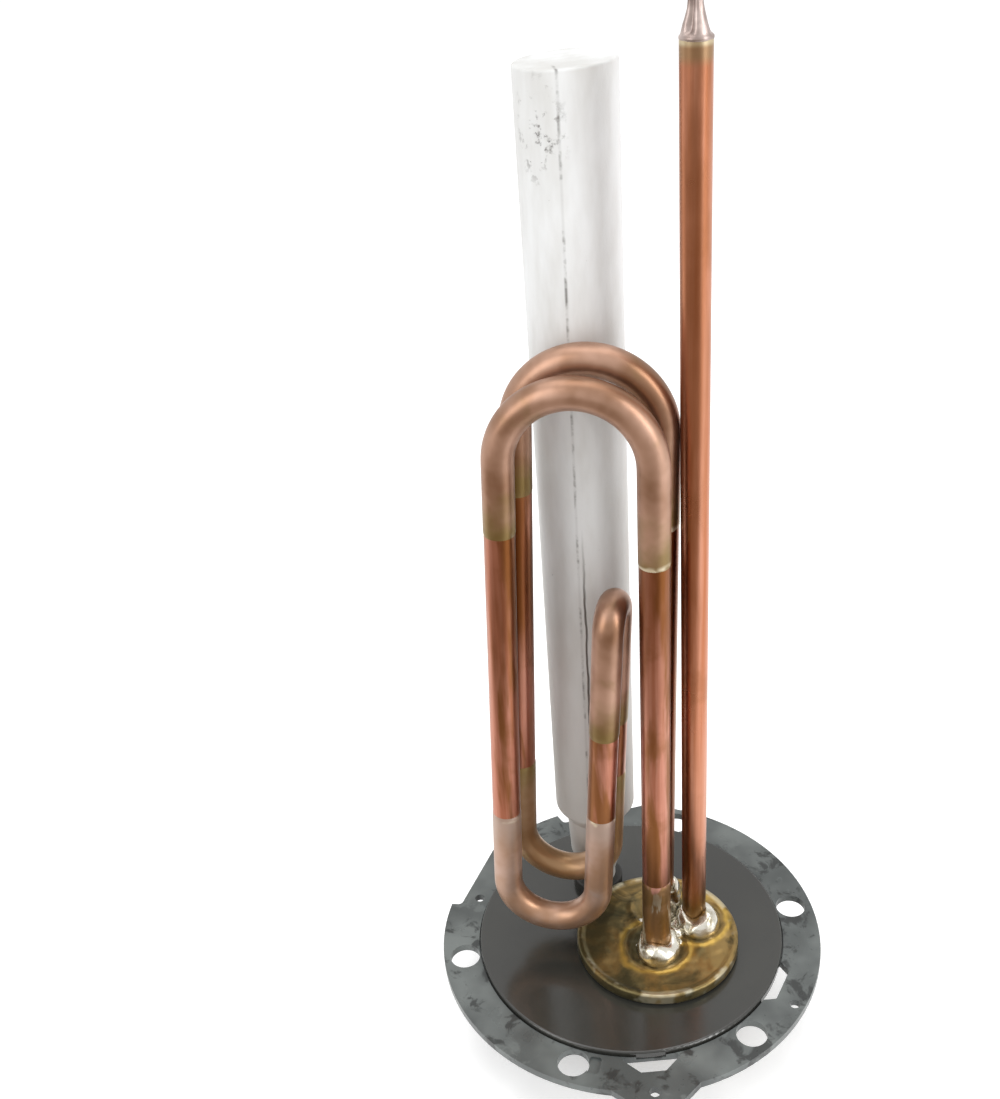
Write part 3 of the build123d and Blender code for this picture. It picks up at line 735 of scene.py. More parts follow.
@dataclass(frozen=True)
class BrightBraze:
    """Silver brazing alloy frozen around a tube: bright, lumpy, with yellow flux stain."""

    name: str = "silver_braze"
    bright: str = "D9D5C9"
    tint: str = "7E7048"
    rough: float = 0.26
    stains: Patches = Patches(Grain(3.2, 3.0, 0.6), Fade(0.48, 0.66, 0.0, 0.75))
    grain: Grain = Grain(1.6, 2.0, 0.5)
    grain_deep_mm: float = 0.03

    def make(self) -> bpy.types.Material:
        """Build the material: bright metal with amber stain in random patches.

        Returns:
            The finished material.
        """
        pen = MaterialPen.start(self.name)
        colour = pen.coat(self.bright, (pen.cover(self.stains), self.tint))
        grain = pen.add(NOISE, self.grain.read(pen.place))
        return pen.dress(colour, self.rough, 1.0, grain, self.grain_deep_mm)


@dataclass(frozen=True)
class PlainFinish:
    """Turned, pressed or moulded small part with a faint variation of tone."""

    name: str
    light: str
    deep: str
    rough: float
    metal: float
    grain_mm: float = 2.0
    layers: float = 3.0
    tone_wider: int = 3
    tone: Fade = Fade(0.35, 0.65, soft=False)
    grain_deep_mm: float = 0.015

    def make(self) -> bpy.types.Material:
        """Build the material: two close tones and a fine grain.

        Returns:
            The finished material.
        """
        pen = MaterialPen.start(self.name)
        tones = Patches(Grain(self.grain_mm * self.tone_wider, self.layers), self.tone)
        colour = pen.coat(self.deep, (pen.cover(tones), self.light))
        grain = pen.add(NOISE, Grain(self.grain_mm, self.layers).read(pen.place))
        return pen.dress(colour, self.rough, self.metal, grain, self.grain_deep_mm)


@dataclass(frozen=True)
class WhitePaper:
    """Matt white paper floor, lifted to white for the camera.

    Mirrors see it white as well, apart from a wedge in front and to the left, where they see a
    warm grey-brown glow instead. It is a painted dark reflection, standing for a cloth, which
    gives the bright metal the darker side that a room would.
    """

    name: str = "white_paper"
    white: str = "F4F4F4"
    rough: float = 0.9
    lift_seen: float = 0.3
    lift_mirrored: float = 0.25
    # Colour of the painted dark reflection that mirrors see in the wedge.
    dark_reflection: str = "AE9A84"
    dark_reflection_turn_deg: float = 34.0
    dark_reflection_spread: Fade = Fade(0.7, 3.4, 1.0, 0.0)
    dark_reflection_near: Fade = Fade(0.07, 0.17)
    least_ahead: float = 0.01

    def make(self) -> bpy.types.Material:
        """Build the material: white paper for every ray, and the wedge of painted dark reflection for
        mirrors.

        Returns:
            The finished material.
        """
        pen = MaterialPen.start(self.name)
        rays = pen.add("ShaderNodeLightPath").node.outputs
        mirrored = rays["Is Glossy Ray"]
        seen = pen.add(MATH, {0: rays["Is Camera Ray"], 1: rays["Is Transmission Ray"]}, MAXIMUM)
        seen = pen.add(MATH, {0: seen, 1: self.lift_seen}, MULTIPLY)
        lift = pen.add(MATH, {0: mirrored, 1: self.lift_mirrored}, MULTIPLY)
        glow = pen.add("ShaderNodeEmission", {"Strength": pen.add(MATH, {0: seen, 1: lift}, ADD)})
        paper = pen.add("ShaderNodeBsdfPrincipled", {"Base Color": self.white,
                                                     "Roughness": self.rough})
        lit = pen.add("ShaderNodeAddShader", {0: paper, 1: glow})
        # Painted dark reflection: a glow that only mirrors see, inside the wedge.
        dark_reflection = pen.add("ShaderNodeEmission", {"Color": self.dark_reflection})
        dark_reflection_share = pen.add(MATH, {0: self.wedge(pen), 1: mirrored}, MULTIPLY)
        return pen.close(pen.add("ShaderNodeMixShader", {0: dark_reflection_share, 1: lit, 2: dark_reflection}))

    def wedge(self, pen: MaterialPen) -> Any:
        """Draw the wedge of painted dark reflection that opens away from the part, forwards and to the
        left.

        Args:
            pen: Pen of the material.

        Returns:
            Value socket, 1 in the wedge.
        """
        turned = pen.shift((0, 0, 0), turn=(0, 0, radians(self.dark_reflection_turn_deg)))
        plan = pen.add(SPLIT, {0: turned}).node.outputs
        ahead = pen.add(MATH, {0: plan["Y"], 1: -1.0}, MULTIPLY)
        aside = pen.add(MATH, {0: plan["X"]}, ABSOLUTE)
        reach = pen.add(MATH, {0: ahead, 1: self.least_ahead}, MAXIMUM)
        spread = pen.add(MATH, {0: aside, 1: reach}, DIVIDE)
        sides = pen.add(RANGE, *self.dark_reflection_spread.of(spread))
        near = pen.add(RANGE, *self.dark_reflection_near.of(ahead))
        return pen.add(MATH, {0: sides, 1: near}, MULTIPLY)


@dataclass
class HeatingTube:
    """Route of the copper heating tube.

    Sizes are millimetres and degrees, the same as the solid tube's. Each bend is the plan
    direction of its centre, its radius and its turn.
    """

    radius: float = 4.25
    foot: Triple = (6.08, -12.84, 2.0)
    lean: Pair = (0.242, 0.746)
    front_leg: float = 171.93
    front_top: Triple = (161.26, 20.01, 177.37)
    front_outer_leg: float = 145.28
    front_low: Triple = (-19.26, 14.28, 179.43)
    front_inner_leg: float = 95.64
    cross: Triple = (65.96, 5.58, 178.03)
    rear_inner_leg: float = 88.83
    rear_low: Triple = (157.24, 14.1, 179.91)
    rear_outer_leg: float = 143.84
    rear_top: Triple = (-19.0, 19.35, 177.72)
    rear_leg: float = 176.95
    bend_steps: int = 48
    points: list[Vector] = field(default_factory=list, init=False)
    legs: dict[Leg, tuple[float, Vector, Vector]] = field(default_factory=dict, init=False)

    def __post_init__(self) -> None:
        """Walk the route once and keep its points and where each leg starts."""
        heading = Vector((tan(radians(self.lean[0])), tan(radians(self.lean[1])), 1.0)).normalized()
        here = Vector(self.foot)
        run = 0.0
        self.points.append(here.copy())
        order = (
            (Leg.FRONT_RIGHT, self.front_leg, self.front_top),
            (Leg.FRONT_LEFT, self.front_outer_leg, self.front_low),
            (Leg.FRONT_INNER, self.front_inner_leg, self.cross),
            (Leg.REAR_INNER, self.rear_inner_leg, self.rear_low),
            (Leg.REAR_LEFT, self.rear_outer_leg, self.rear_top),
            (Leg.REAR_RIGHT, self.rear_leg, None),
        )
        for leg, length, corner in order:
            self.legs[leg] = (run, here.copy(), heading.copy())
            here = here + heading * length
            run += length
            self.points.append(here.copy())
            if corner is None:
                break
            toward, bend_r, turn = corner
            here, heading = self.bend(here, heading, toward, bend_r, turn)
            run += bend_r * radians(turn)

    def bend(self, here: Vector, heading: Vector, toward: float, bend_r: float,
             turn: float) -> tuple[Vector, Vector]:
        """Add the points of one bend.

        Args:
            here: Point where the bend starts.
            heading: Direction before the bend.
            toward: Plan direction of the bend's centre in degrees.
            bend_r: Radius of the bend.
            turn: Angle of the bend in degrees.

        Returns:
            End point and the direction after the bend.
        """
        flat = Vector((cos(radians(toward)), sin(radians(toward)), 0))
        side = (flat - heading * flat.dot(heading)).normalized()
        centre = here + side * bend_r
        for step in range(1, self.bend_steps + 1):
            angle = radians(turn) * step / self.bend_steps
            self.points.append(centre - side * (bend_r * cos(angle)) + heading * (bend_r * sin(angle)))
        angle = radians(turn)
        return self.points[-1].copy(), (side * sin(angle) + heading * cos(angle)).normalized()

    def length_at(self, leg: Leg, height: float) -> float:
        """Length along the route of a height on one leg.

        Args:
            leg: Leg to measure on.
            height: Height above the ring in millimetres.

        Returns:
            Length from the foot in millimetres.
        """
        run, start, heading = self.legs[leg]
        return run + (height - start.z) / heading.z

    def route(self) -> bpy.types.Object:
        """Make the route as a fine curve.

        Returns:
            Curve object in metres.
        """
        curve = bpy.data.curves.new("tube_route", "CURVE")
        curve.dimensions = "3D"
        spline = curve.splines.new("POLY")
        spline.points.add(len(self.points) - 1)
        for point, place in zip(spline.points, self.points):
            point.co = (*(place * MM), 1.0)
        return show("tube_route", curve)


def show(name: str, data: Any) -> bpy.types.Object:
    """Put mesh, curve, lamp or camera data into the scene as an object at the origin.

    Args:
        name: Name of the object.
        data: Data that the object shows.

    Returns:
        The new object.
    """
    obj = bpy.data.objects.new(name, data)
    bpy.context.scene.collection.objects.link(obj)
    return obj


def settle(obj: bpy.types.Object) -> bpy.types.Mesh:
    """Run an object's modifiers and take them off.

    Args:
        obj: Object with modifiers.

    Returns:
        The result as a plain mesh.
    """
    bpy.context.view_layer.update()
    seen = obj.evaluated_get(bpy.context.evaluated_depsgraph_get())
    mesh = bpy.data.meshes.new_from_object(seen)
    obj.modifiers.clear()
    return mesh


@dataclass
class GeometryTree(NodePen):
    """Geometry Nodes tree with named inputs, ended by Realize Instances and Set Material."""

    given: Any
    sink: Any

    @classmethod
    def start(cls, name: str, sizes: dict[str, float]) -> "GeometryTree":
        """Start a tree with a geometry input, a number input per size and a material input.

        Args:
            name: Name of the tree.
            sizes: Number inputs with their default values.

        Returns:
            The new tree.
        """
        tree = bpy.data.node_groups.new(name, "GeometryNodeTree")
        tree.interface.new_socket("Geometry", in_out="INPUT", socket_type="NodeSocketGeometry")
        for label, value in sizes.items():
            socket = tree.interface.new_socket(label, in_out="INPUT", socket_type="NodeSocketFloat")
            socket.default_value = value
        tree.interface.new_socket("Material", in_out="INPUT", socket_type="NodeSocketMaterial")
        tree.interface.new_socket("Geometry", in_out="OUTPUT", socket_type="NodeSocketGeometry")
        given = tree.nodes.new("NodeGroupInput").outputs
        return cls(tree, given, tree.nodes.new("NodeGroupOutput").inputs[0])

    def end(self, geometry: Any) -> None:
        """Smooth the faces, realise instances, set the material and connect the output.

        Args:
            geometry: Geometry socket of the finished shape.
        """
        smooth = self.add("GeometryNodeSetShadeSmooth", {0: geometry})
        real = self.add("GeometryNodeRealizeInstances", {0: smooth})
        painted = self.add("GeometryNodeSetMaterial",
                           {"Geometry": real, "Material": self.given["Material"]})
        self.tree.links.new(painted, self.sink)

    def apply(self, base: bpy.types.Object, name: str, sizes: dict[str, float],
              material: bpy.types.Material) -> bpy.types.Object:
        """Run the tree on an object and keep the result as a plain mesh.

        Args:
            base: Curve or mesh object that the tree reads.
            name: Name of the finished piece.
            sizes: Input values by name.
            material: Material of the piece.

        Returns:
            Mesh object at the origin with no modifier.
        """
        modifier = base.modifiers.new("shape", "NODES")
        modifier.node_group = self.tree
        for item in self.tree.interface.items_tree:
            if item.in_out != "INPUT":
                continue
            if item.name in sizes:
                modifier[item.identifier] = float(sizes[item.name])
            elif item.name == "Material":
                modifier[item.identifier] = material
        mesh = settle(base)
        mesh.name = name
        return show(name, mesh)


@dataclass(frozen=True)
class Stretch:
    """Softened stretch of the tube: its two ends, each a leg and a height in mm, and its finish."""

    name: str
    start: tuple[Leg, float]
    end: tuple[Leg, float]
    finish: str = "skin"


@dataclass
class BendSkins:
    """Dull annealed skins over the bends and the foot, where the tube was heated.

    Sizes are millimetres. A skin thins to nothing over the fade at its ends, which are sunk a
    little under the tube's face.
    """

    tube: HeatingTube
    finishes: dict[str, bpy.types.Material]
    skin: float = 0.13
    fade: float = 0.5
    sunk: float = 0.08
    step: float = 1.2
    around: int = 40
    stretches: tuple[Stretch, ...] = (
        Stretch("skin_front_foot", (Leg.FRONT_RIGHT, 3.0), (Leg.FRONT_RIGHT, 35.0), "skin_foot"),
        Stretch("skin_front_top", (Leg.FRONT_RIGHT, 145.8), (Leg.FRONT_LEFT, 153.3)),
        Stretch("skin_front_low", (Leg.FRONT_LEFT, 58.0), (Leg.FRONT_INNER, 59.3), "skin_low"),
        Stretch("skin_cross", (Leg.FRONT_INNER, 88.6), (Leg.REAR_INNER, 85.2)),
        Stretch("skin_rear_low", (Leg.REAR_INNER, 66.3), (Leg.REAR_LEFT, 65.6), "skin_rear"),
        Stretch("skin_rear_top", (Leg.REAR_LEFT, 160.0), (Leg.REAR_RIGHT, 151.0)),
    )

    def tree(self) -> GeometryTree:
        """Draw the tree that lays a thin skin over part of a route.

        It stores each point's way to the nearer end, in millimetres, for the finish to read.

        Returns:
            The tree, with its inputs in metres.
        """
        sizes = {"Start": 0.0, "End": 0.1, "Radius": self.tube.radius * MM, "Skin": self.skin * MM,
                 "Fade": self.fade * MM, "Sunk": self.sunk * MM, "Step": self.step * MM}
        made = GeometryTree.start("bend_skin", sizes)
        given = made.given
        part = made.add("GeometryNodeTrimCurve",
                        {"Curve": given["Geometry"], 4: given["Start"], 5: given["End"]},
                        {"mode": "LENGTH"})
        fine = made.add("GeometryNodeResampleCurve", {"Curve": part, "Length": given["Step"]},
                        {"mode": "LENGTH"})
        along = made.add("GeometryNodeSplineParameter", out="Length")
        total = made.add("GeometryNodeSplineLength", out="Length")
        rest = made.add(MATH, {0: total, 1: along}, SUBTRACT)
        end = made.add(MATH, {0: along, 1: rest}, MINIMUM)
        end_mm = made.add(MATH, {0: end, 1: MM_PER_M}, MULTIPLY)
        marked = made.add("GeometryNodeStoreNamedAttribute",
                          {"Geometry": fine, "Name": "end_mm", "Value": end_mm},
                          {"data_type": "FLOAT", "domain": "POINT"})
        below = made.add(MATH, {0: given["Sunk"], 1: -1.0}, MULTIPLY)
        grown = made.add(RANGE, {"Value": end, "From Min": 0.0, "From Max": given["Fade"],
                                 "To Min": below, "To Max": given["Skin"]},
                         {"interpolation_type": "SMOOTHSTEP"})
        outer = made.add(MATH, {0: given["Radius"], 1: grown}, ADD)
        swell = made.add(MATH, {0: outer, 1: given["Radius"]}, DIVIDE)
        sized = made.add("GeometryNodeSetCurveRadius", {"Curve": marked, "Radius": swell})
        ring = made.add("GeometryNodeCurvePrimitiveCircle",
                        {"Radius": given["Radius"], "Resolution": self.around}, {"mode": "RADIUS"})
        made.end(made.add("GeometryNodeCurveToMesh", {"Curve": sized, "Profile Curve": ring,
                                                      "Scale": swell, "Fill Caps": True}))
        return made

    def build(self) -> list[bpy.types.Object]:
        """Lay one skin per softened stretch.

        Returns:
            The skins as finished pieces.
        """
        tree = self.tree()
        route = self.tube.route()
        pieces = []
        for stretch in self.stretches:
            start = self.tube.length_at(*stretch.start)
            end = self.tube.length_at(*stretch.end)
            sizes = {"Start": start * MM, "End": end * MM, "Radius": self.tube.radius * MM,
                     "Skin": self.skin * MM, "Fade": self.fade * MM, "Sunk": self.sunk * MM,
                     "Step": self.step * MM}
            pieces.append(tree.apply(route, stretch.name, sizes, self.finishes[stretch.finish]))
        bpy.data.objects.remove(route)
        return pieces


@dataclass(frozen=True)
class Thread:
    """Outside thread, from the low end of its solid up to its nut. Sizes are millimetres."""

    name: str
    solid: str
    nut: str
    centre: Pair
    radius: float
    pitch: float
    finish: str = "steel"


@dataclass
class ScrewThreads:
    """Threads of the spigot and of the two studs under the disc.

    The ridge is a square bar wound on edge, sized by shares of the pitch and of itself.
    """

    finishes: dict[str, bpy.types.Material]
    ridge_of_pitch: float = 0.5
    sunk: float = 0.45
    end_gap: float = 1.1
    ridge_sides: int = 4
    turn_steps: int = 36
    threads: tuple[Thread, ...] = (
        Thread("thread_spigot", "heater_head", "head_nut", HEAD_CENTRE_MM, 20.95, 2.309, "nut_brass"),
        Thread("thread_anode_stud", "anode_core", "anode_nut", ANODE_CENTRE_MM, 4.0, 1.25),
        Thread("thread_earth_stud", "earth_stud", "earth_nut", (-24.0, -16.0), 2.5, 0.8),
    )

    def tree(self) -> GeometryTree:
        """Draw the tree that winds a sharp ridge along an upright helix.

        Returns:
            The tree, with its inputs in metres.
        """
        made = GeometryTree.start("screw_thread", {"Radius": 0.004, "Pitch": 0.00125, "Height": 0.01,
                                                   "Ridge": 0.0006, "Base X": 0.0, "Base Y": 0.0,
                                                   "Base Z": 0.0})
        given = made.given
        turns = made.add(MATH, {0: given["Height"], 1: given["Pitch"]}, DIVIDE)
        coil = made.add("GeometryNodeCurveSpiral",
                        {"Rotations": turns, "Start Radius": given["Radius"],
                         "End Radius": given["Radius"], "Height": given["Height"],
                         "Resolution": self.turn_steps})
        place = made.add("ShaderNodeCombineXYZ",
                         {0: given["Base X"], 1: given["Base Y"], 2: given["Base Z"]})
        moved = made.add("GeometryNodeTransform", {"Geometry": coil, "Translation": place})
        shape = made.add("GeometryNodeCurvePrimitiveCircle",
                         {"Radius": given["Ridge"], "Resolution": self.ridge_sides},
                         {"mode": "RADIUS"})
        made.end(made.add("GeometryNodeCurveToMesh",
                          {"Curve": moved, "Profile Curve": shape, "Fill Caps": True}))
        return made

    def build(self) -> list[bpy.types.Object]:
        """Wind the three threads.

        Returns:
            The threads as finished pieces.
        """
        tree = self.tree()
        pieces = []
        for thread in self.threads:
            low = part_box(thread.solid)[0].z / MM
            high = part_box(thread.nut)[0].z / MM
            ridge = thread.pitch * self.ridge_of_pitch
            sizes = {"Radius": (thread.radius - ridge * self.sunk) * MM, "Pitch": thread.pitch * MM,
                     "Height": (high - low - ridge * (2 * self.end_gap)) * MM, "Ridge": ridge * MM,
                     "Base X": thread.centre[0] * MM, "Base Y": thread.centre[1] * MM,
                     "Base Z": (low + ridge * self.end_gap) * MM}
            seed = show("thread_seed", bpy.data.meshes.new("thread_seed"))
            pieces.append(tree.apply(seed, thread.name, sizes, self.finishes[thread.finish]))
            bpy.data.objects.remove(seed)
        return pieces


def smooth_piece(name: str, made: bmesh.types.BMesh, material: bpy.types.Material) -> bpy.types.Object:
    """Turn a finished bmesh into a piece with smooth faces.

    Args:
        name: Name of the piece.
        made: Shape in metres, which is freed.
        material: Material of the piece.

    Returns:
        Mesh object at the origin.
    """
    for face in made.faces:
        face.smooth = True
    mesh = bpy.data.meshes.new(name)
    made.to_mesh(mesh)
    made.free()
    mesh.materials.append(material)
    return show(name, mesh)


def ring_mesh(name: str, rows: list[list[Vector]], looped: bool,
              material: bpy.types.Material) -> bpy.types.Object:
    """Join rows of points, each a closed ring, to a closed skin.

    Args:
        name: Name of the piece.
        rows: Rings of points in millimetres, all with the same number of points.
        looped: True to join the last ring to the first, False to close each end with a face.
        material: Material of the piece.

    Returns:
        Mesh object with smooth faces that point outwards.
    """
    made = bmesh.new()
    verts = [[made.verts.new(point * MM) for point in row] for row in rows]
    around = len(rows[0])
    pairs = list(zip(verts, verts[1:]))
    if looped:
        pairs.append((verts[-1], verts[0]))
    for low, high in pairs:
        for i in range(around):
            j = (i + 1) % around
            made.faces.new((low[i], low[j], high[j], high[i]))
    if not looped:
        made.faces.new(verts[0])
        made.faces.new(verts[-1])
    bmesh.ops.recalc_face_normals(made, faces=made.faces)
    return smooth_piece(name, made, material)


@dataclass(frozen=True)
class BrazeBead:
    """Braze frozen in a lumpy bead where a tube stands on the head.

    Sizes are millimetres. The bead leans to one side by its pull, and two and three broad waves
    around it, placed by its seed, make its reach and its height uneven.
    """

    node: str
    centre: Pair
    tube_r: float
    reach: float
    high: float
    pull: Pair
    seed: float
    floor: float = 4.85
    overlap: float = 0.03
    third_wave: float = 0.6
    third_phase: float = 2.1
    reach_wave: float = 0.18
    high_wave: float = 0.06
    high_third: float = 0.1
    high_phase: float = 1.7
    foot_curve: float = 0.7
    top_curve: float = 0.9
    lump: float = 0.35
    lump_mm: float = 2.6
    lump_rise: float = 0.6
    around: int = 112
    steps: int = 22

    def build(self, material: bpy.types.Material) -> bpy.types.Object:
        """Shape the bead as a closed skin that stands for the plain collar.

        Args:
            material: Finish of the braze.

        Returns:
            The finished bead.
        """
        inner = self.tube_r - self.overlap
        place = Vector((*self.centre, 0.0))
        rows: list[list[Vector]] = [[] for _ in range(self.steps + 2)]
        for i in range(self.around):
            angle = 2 * pi * i / self.around
            side = Vector((cos(angle), sin(angle)))
            wave = sin(2 * angle + self.seed)
            wave += self.third_wave * sin(3 * angle + self.third_phase * self.seed)
            outer = self.reach + side.dot(Vector(self.pull)) + self.reach_wave * wave
            third = self.high_third * sin(angle * 3 + self.seed * self.high_phase)
            top = self.high * (1 + third + self.high_wave * wave)
            for step in range(self.steps + 1):
                turn = step / self.steps * pi / 2
                far = inner + (outer - inner) * cos(turn) ** self.foot_curve
                up = self.floor + top * sin(turn) ** self.top_curve
                rows[step].append(self.lumped(side, far, up, turn) + place)
            rows[-1].append(Vector((side.x * inner, side.y * inner, self.floor)) + place)
        bead = ring_mesh("bead_" + self.node, rows, True, material)
        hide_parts(self.node)
        return bead

    def lumped(self, side: Vector, far: float, up: float, turn: float) -> Vector:
        """One point of the bead with its lumps, which die out at the head and at the tube.

        Args:
            side: Direction from the tube's axis.
            far: Distance from the axis.
            up: Height of the point.
            turn: Way up the bead, from 0 at the head to a quarter turn at the tube.

        Returns:
            Point in millimetres from the tube's axis.
        """
        spot = Vector((side.x * far, side.y * far, up))
        swell = noise.noise(spot / self.lump_mm + Vector((self.seed, 0, 0))) * self.lump
        swell *= sin(2 * turn)
        spot.x += side.x * swell
        spot.y += side.y * swell
        spot.z += swell * self.lump_rise
        return spot


@dataclass(frozen=True)
class Drop:
    """Drop of frozen braze: its middle and its half sizes in millimetres."""

    x: float
    y: float
    z: float
    wide: float
    deep: float
    high: float


@dataclass(frozen=True)
class SpiltBraze:
    """Drops of braze that ran off between the feet and froze on the head and the rear tube."""

    drops: tuple[Drop, ...] = (
        Drop(13.2, -8.6, 5.3, 2.9, 2.4, 2.2),
        Drop(14.8, -5.2, 5.2, 2.6, 2.8, 2.4),
        Drop(12.9, -12.4, 5.1, 1.6, 1.4, 1.2),
        Drop(15.6, -1.0, 5.2, 2.3, 2.6, 2.0),
        Drop(14.9, 1.6, 8.5, 1.7, 1.9, 4.6),
        Drop(14.2, 0.7, 14.6, 1.4, 1.5, 3.6),
        Drop(0.6, -11.4, 5.2, 1.1, 1.0, 1.1),
        Drop(3.6, -1.2, 4.9, 1.4, 1.1, 0.7),
    )
    roundness: int = 3
    lump: float = 0.22
    lumps_across: float = 1.4
    lump_shift: float = 3.7

    def build(self, material: bpy.types.Material) -> bpy.types.Object:
        """Shape every drop as a squashed lumpy ball in one mesh.

        Args:
            material: Finish of the braze.

        Returns:
            The drops as one piece.
        """
        made = bmesh.new()
        for number, drop in enumerate(self.drops):
            shift = Vector((number * self.lump_shift, 0, 0))
            ball = bmesh.ops.create_icosphere(made, subdivisions=self.roundness, radius=1.0)["verts"]
            for vert in ball:
                swell = 1 + self.lump * noise.noise(vert.co * self.lumps_across + shift)
                vert.co = Vector((drop.x + vert.co.x * drop.wide * swell,
                                  drop.y + vert.co.y * drop.deep * swell,
                                  drop.z + vert.co.z * drop.high * swell)) * MM
        return smooth_piece("spilt_braze", made, material)


class Zone(Enum):
    """Part of the crust that a ring of points lies on."""

    TOP = "follows the relief, and climbs to the lip"
    LIP = "rough rounded lip and side"
    HIDDEN = "plain inside that lies in the head"


@dataclass(frozen=True)
class FluxCrust:
    """Lumpy skin of burnt flux over the top and rounded lip of the brass head.

    Sizes are millimetres. The feet are plan points with the reach of the braze, and the holes are
    plan points with their radius. Flux has gathered in a ridge around each foot, with a hollow
    inside it.
    """

    centre: Pair = HEAD_CENTRE_MM
    top: float = 4.9
    lip_r: float = 24.7
    lip_low: float = 4.75
    lip_round: float = 1.1
    lip_squareness: float = 2.6
    flat_inset: float = 1.7
    side_heights: tuple[float, ...] = (4.2, 3.7, 3.2, 2.8, 2.4)
    inside_r: float = 25.2
    inside_top: float = 4.4
    feet: tuple[Triple, ...] = ((6.09, -12.9, 7.4), (20.5, -4.3, 7.6), (10.99, 3.17, 7.0))
    holes: tuple[Triple, ...] = ((6.09, -12.83, 4.2), (*POCKET_CENTRE_MM, 3.7), (10.99, 3.17, 4.2))
    hole_below: float = 2
    hole_above: float = 3
    hole_sides: int = 64
    thick: float = 0.34
    thinnest: float = 0.03
    lumps: tuple[Pair, ...] = ((0.28, 5.5), (0.14, 2.3))
    foot_edge: float = 0.7
    foot_edge_mm: float = 4.0
    foot_edge_shift: float = 7.0
    ridge: Triple = (0.34, 2.6, 0.75)
    hollow: Triple = (0.12, 0.7, 0.6)
    rough_flat_mm: float = 3.2
    rough_up_mm: float = 2.0
    lip_rough: float = 0.07
    side_rough: float = 0.09
    around: int = 200
    flat_steps: int = 64
    climb_steps: int = 8
    round_steps: int = 12

    def relief(self, x: float, y: float) -> float:
        """Height of the crust over the bare head.

        Args:
            x: Plan point across.
            y: Plan point ahead.

        Returns:
            Height in millimetres.
        """
        spot = Vector((x, y, 0.0))
        height = self.thick
        for share, width in self.lumps:
            height += share * noise.noise(spot / width)
        for foot_x, foot_y, reach in self.feet:
            gap = hypot(x - foot_x, y - foot_y) - reach
            shifted = spot / self.foot_edge_mm + Vector((self.foot_edge_shift, 0, 0))
            gap += self.foot_edge * noise.noise(shifted)
            height += self.swell(gap, *self.ridge) - self.swell(gap, *self.hollow)
        return max(height, self.thinnest)

    @staticmethod
    def swell(gap: float, high: float, at: float, wide: float) -> float:
        """Height of a rounded swell that peaks at one distance from the braze.

        Args:
            gap: Distance from the braze.
            high: Height at the peak.
            at: Distance of the peak.
            wide: Distance from the peak where it has sunk to about a third.

        Returns:
            Height in millimetres.
        """
        return high * exp(-((gap - at) / wide) ** 2)

    def build(self, material: bpy.types.Material) -> bpy.types.Object:
        """Shape the crust as a closed shell with a hole for each tube.

        Args:
            material: Finish of the crust.

        Returns:
            The finished crust.
        """
        flat_r = self.lip_r - self.lip_round * self.flat_inset
        side_low = self.side_heights[-1]
        rows: list[list[Vector]] = []
        for step in range(1, self.flat_steps + 1):
            rows.append(self.ring(Zone.TOP, flat_r * step / self.flat_steps, 0.0))
        for step in range(1, self.climb_steps + 1):
            part = step / self.climb_steps
            rise = (3 - 2 * part) * part * part
            rows.append(self.ring(Zone.TOP, flat_r + (self.lip_r - flat_r) * part, rise))
        for step in range(1, self.round_steps + 1):
            turn = step / self.round_steps * pi / 2
            power = 2 / self.lip_squareness
            rows.append(self.ring(Zone.LIP, self.lip_r + self.lip_round * sin(turn) ** power,
                                  self.lip_low + self.lip_round * max(cos(turn), 0.0) ** power))
        for height in self.side_heights:
            rows.append(self.ring(Zone.LIP, self.lip_r + self.lip_round, height))
        rows.append(self.ring(Zone.HIDDEN, self.inside_r, side_low))
        rows.append(self.ring(Zone.HIDDEN, self.inside_r, self.inside_top))
        rows.append(self.ring(Zone.HIDDEN, flat_r / self.flat_steps, self.inside_top))
        crust = ring_mesh("flux_crust", rows, True, material)
        self.pierce(crust)
        return crust

    def ring(self, zone: Zone, far: float, level: float) -> list[Vector]:
        """One ring of points around the head.

        Args:
            zone: Part of the crust that the ring lies on.
            far: Distance from the head's axis.
            level: Height of the ring, or on the top its climb from 0 to 1, at the lip's crown.

        Returns:
            Points in millimetres.
        """
        ring = []
        crown = self.lip_low + self.lip_round
        on_top = zone is Zone.TOP
        up = 0.0 if on_top else level
        for i in range(self.around):
            angle = 2 * pi * i / self.around
            side = Vector((cos(angle), sin(angle), 0.0))
            spot = Vector((*self.centre, 0.0)) + side * far
            rough = noise.noise(Vector((spot.x / self.rough_flat_mm, spot.y / self.rough_flat_mm,
                                        up / self.rough_up_mm)))
            spot.z = up
            if on_top:
                flat = self.top + self.relief(spot.x, spot.y)
                spot.z = flat * (1 - level) + crown * level
                spot.z += self.lip_rough * rough * level
            if zone is Zone.LIP or (on_top and level == 1.0):
                spot += side * self.side_rough * rough
            ring.append(spot)
        return ring

    def pierce(self, crust: bpy.types.Object) -> None:
        """Cut the tubes' holes through the crust and keep the result as its plain mesh.

        Args:
            crust: Closed crust without holes.
        """
        turns = [2 * pi * i / self.hole_sides for i in range(self.hole_sides)]
        cutters = []
        for number, (x, y, radius) in enumerate(self.holes):
            rows = [[Vector((x + radius * cos(turn), y + radius * sin(turn), height)) for turn in turns]
                    for height in (self.inside_top - self.hole_below, self.top + self.hole_above)]
            cutter = ring_mesh(f"cutter_{number}", rows, False, crust.data.materials[0])
            cut = crust.modifiers.new(f"hole_{number}", "BOOLEAN")
            cut.operation = "DIFFERENCE"
            cut.solver = "EXACT"
            cut.object = cutter
            cutters.append(cutter)
        crust.data = settle(crust)
        for cutter in cutters:
            bpy.data.objects.remove(cutter)


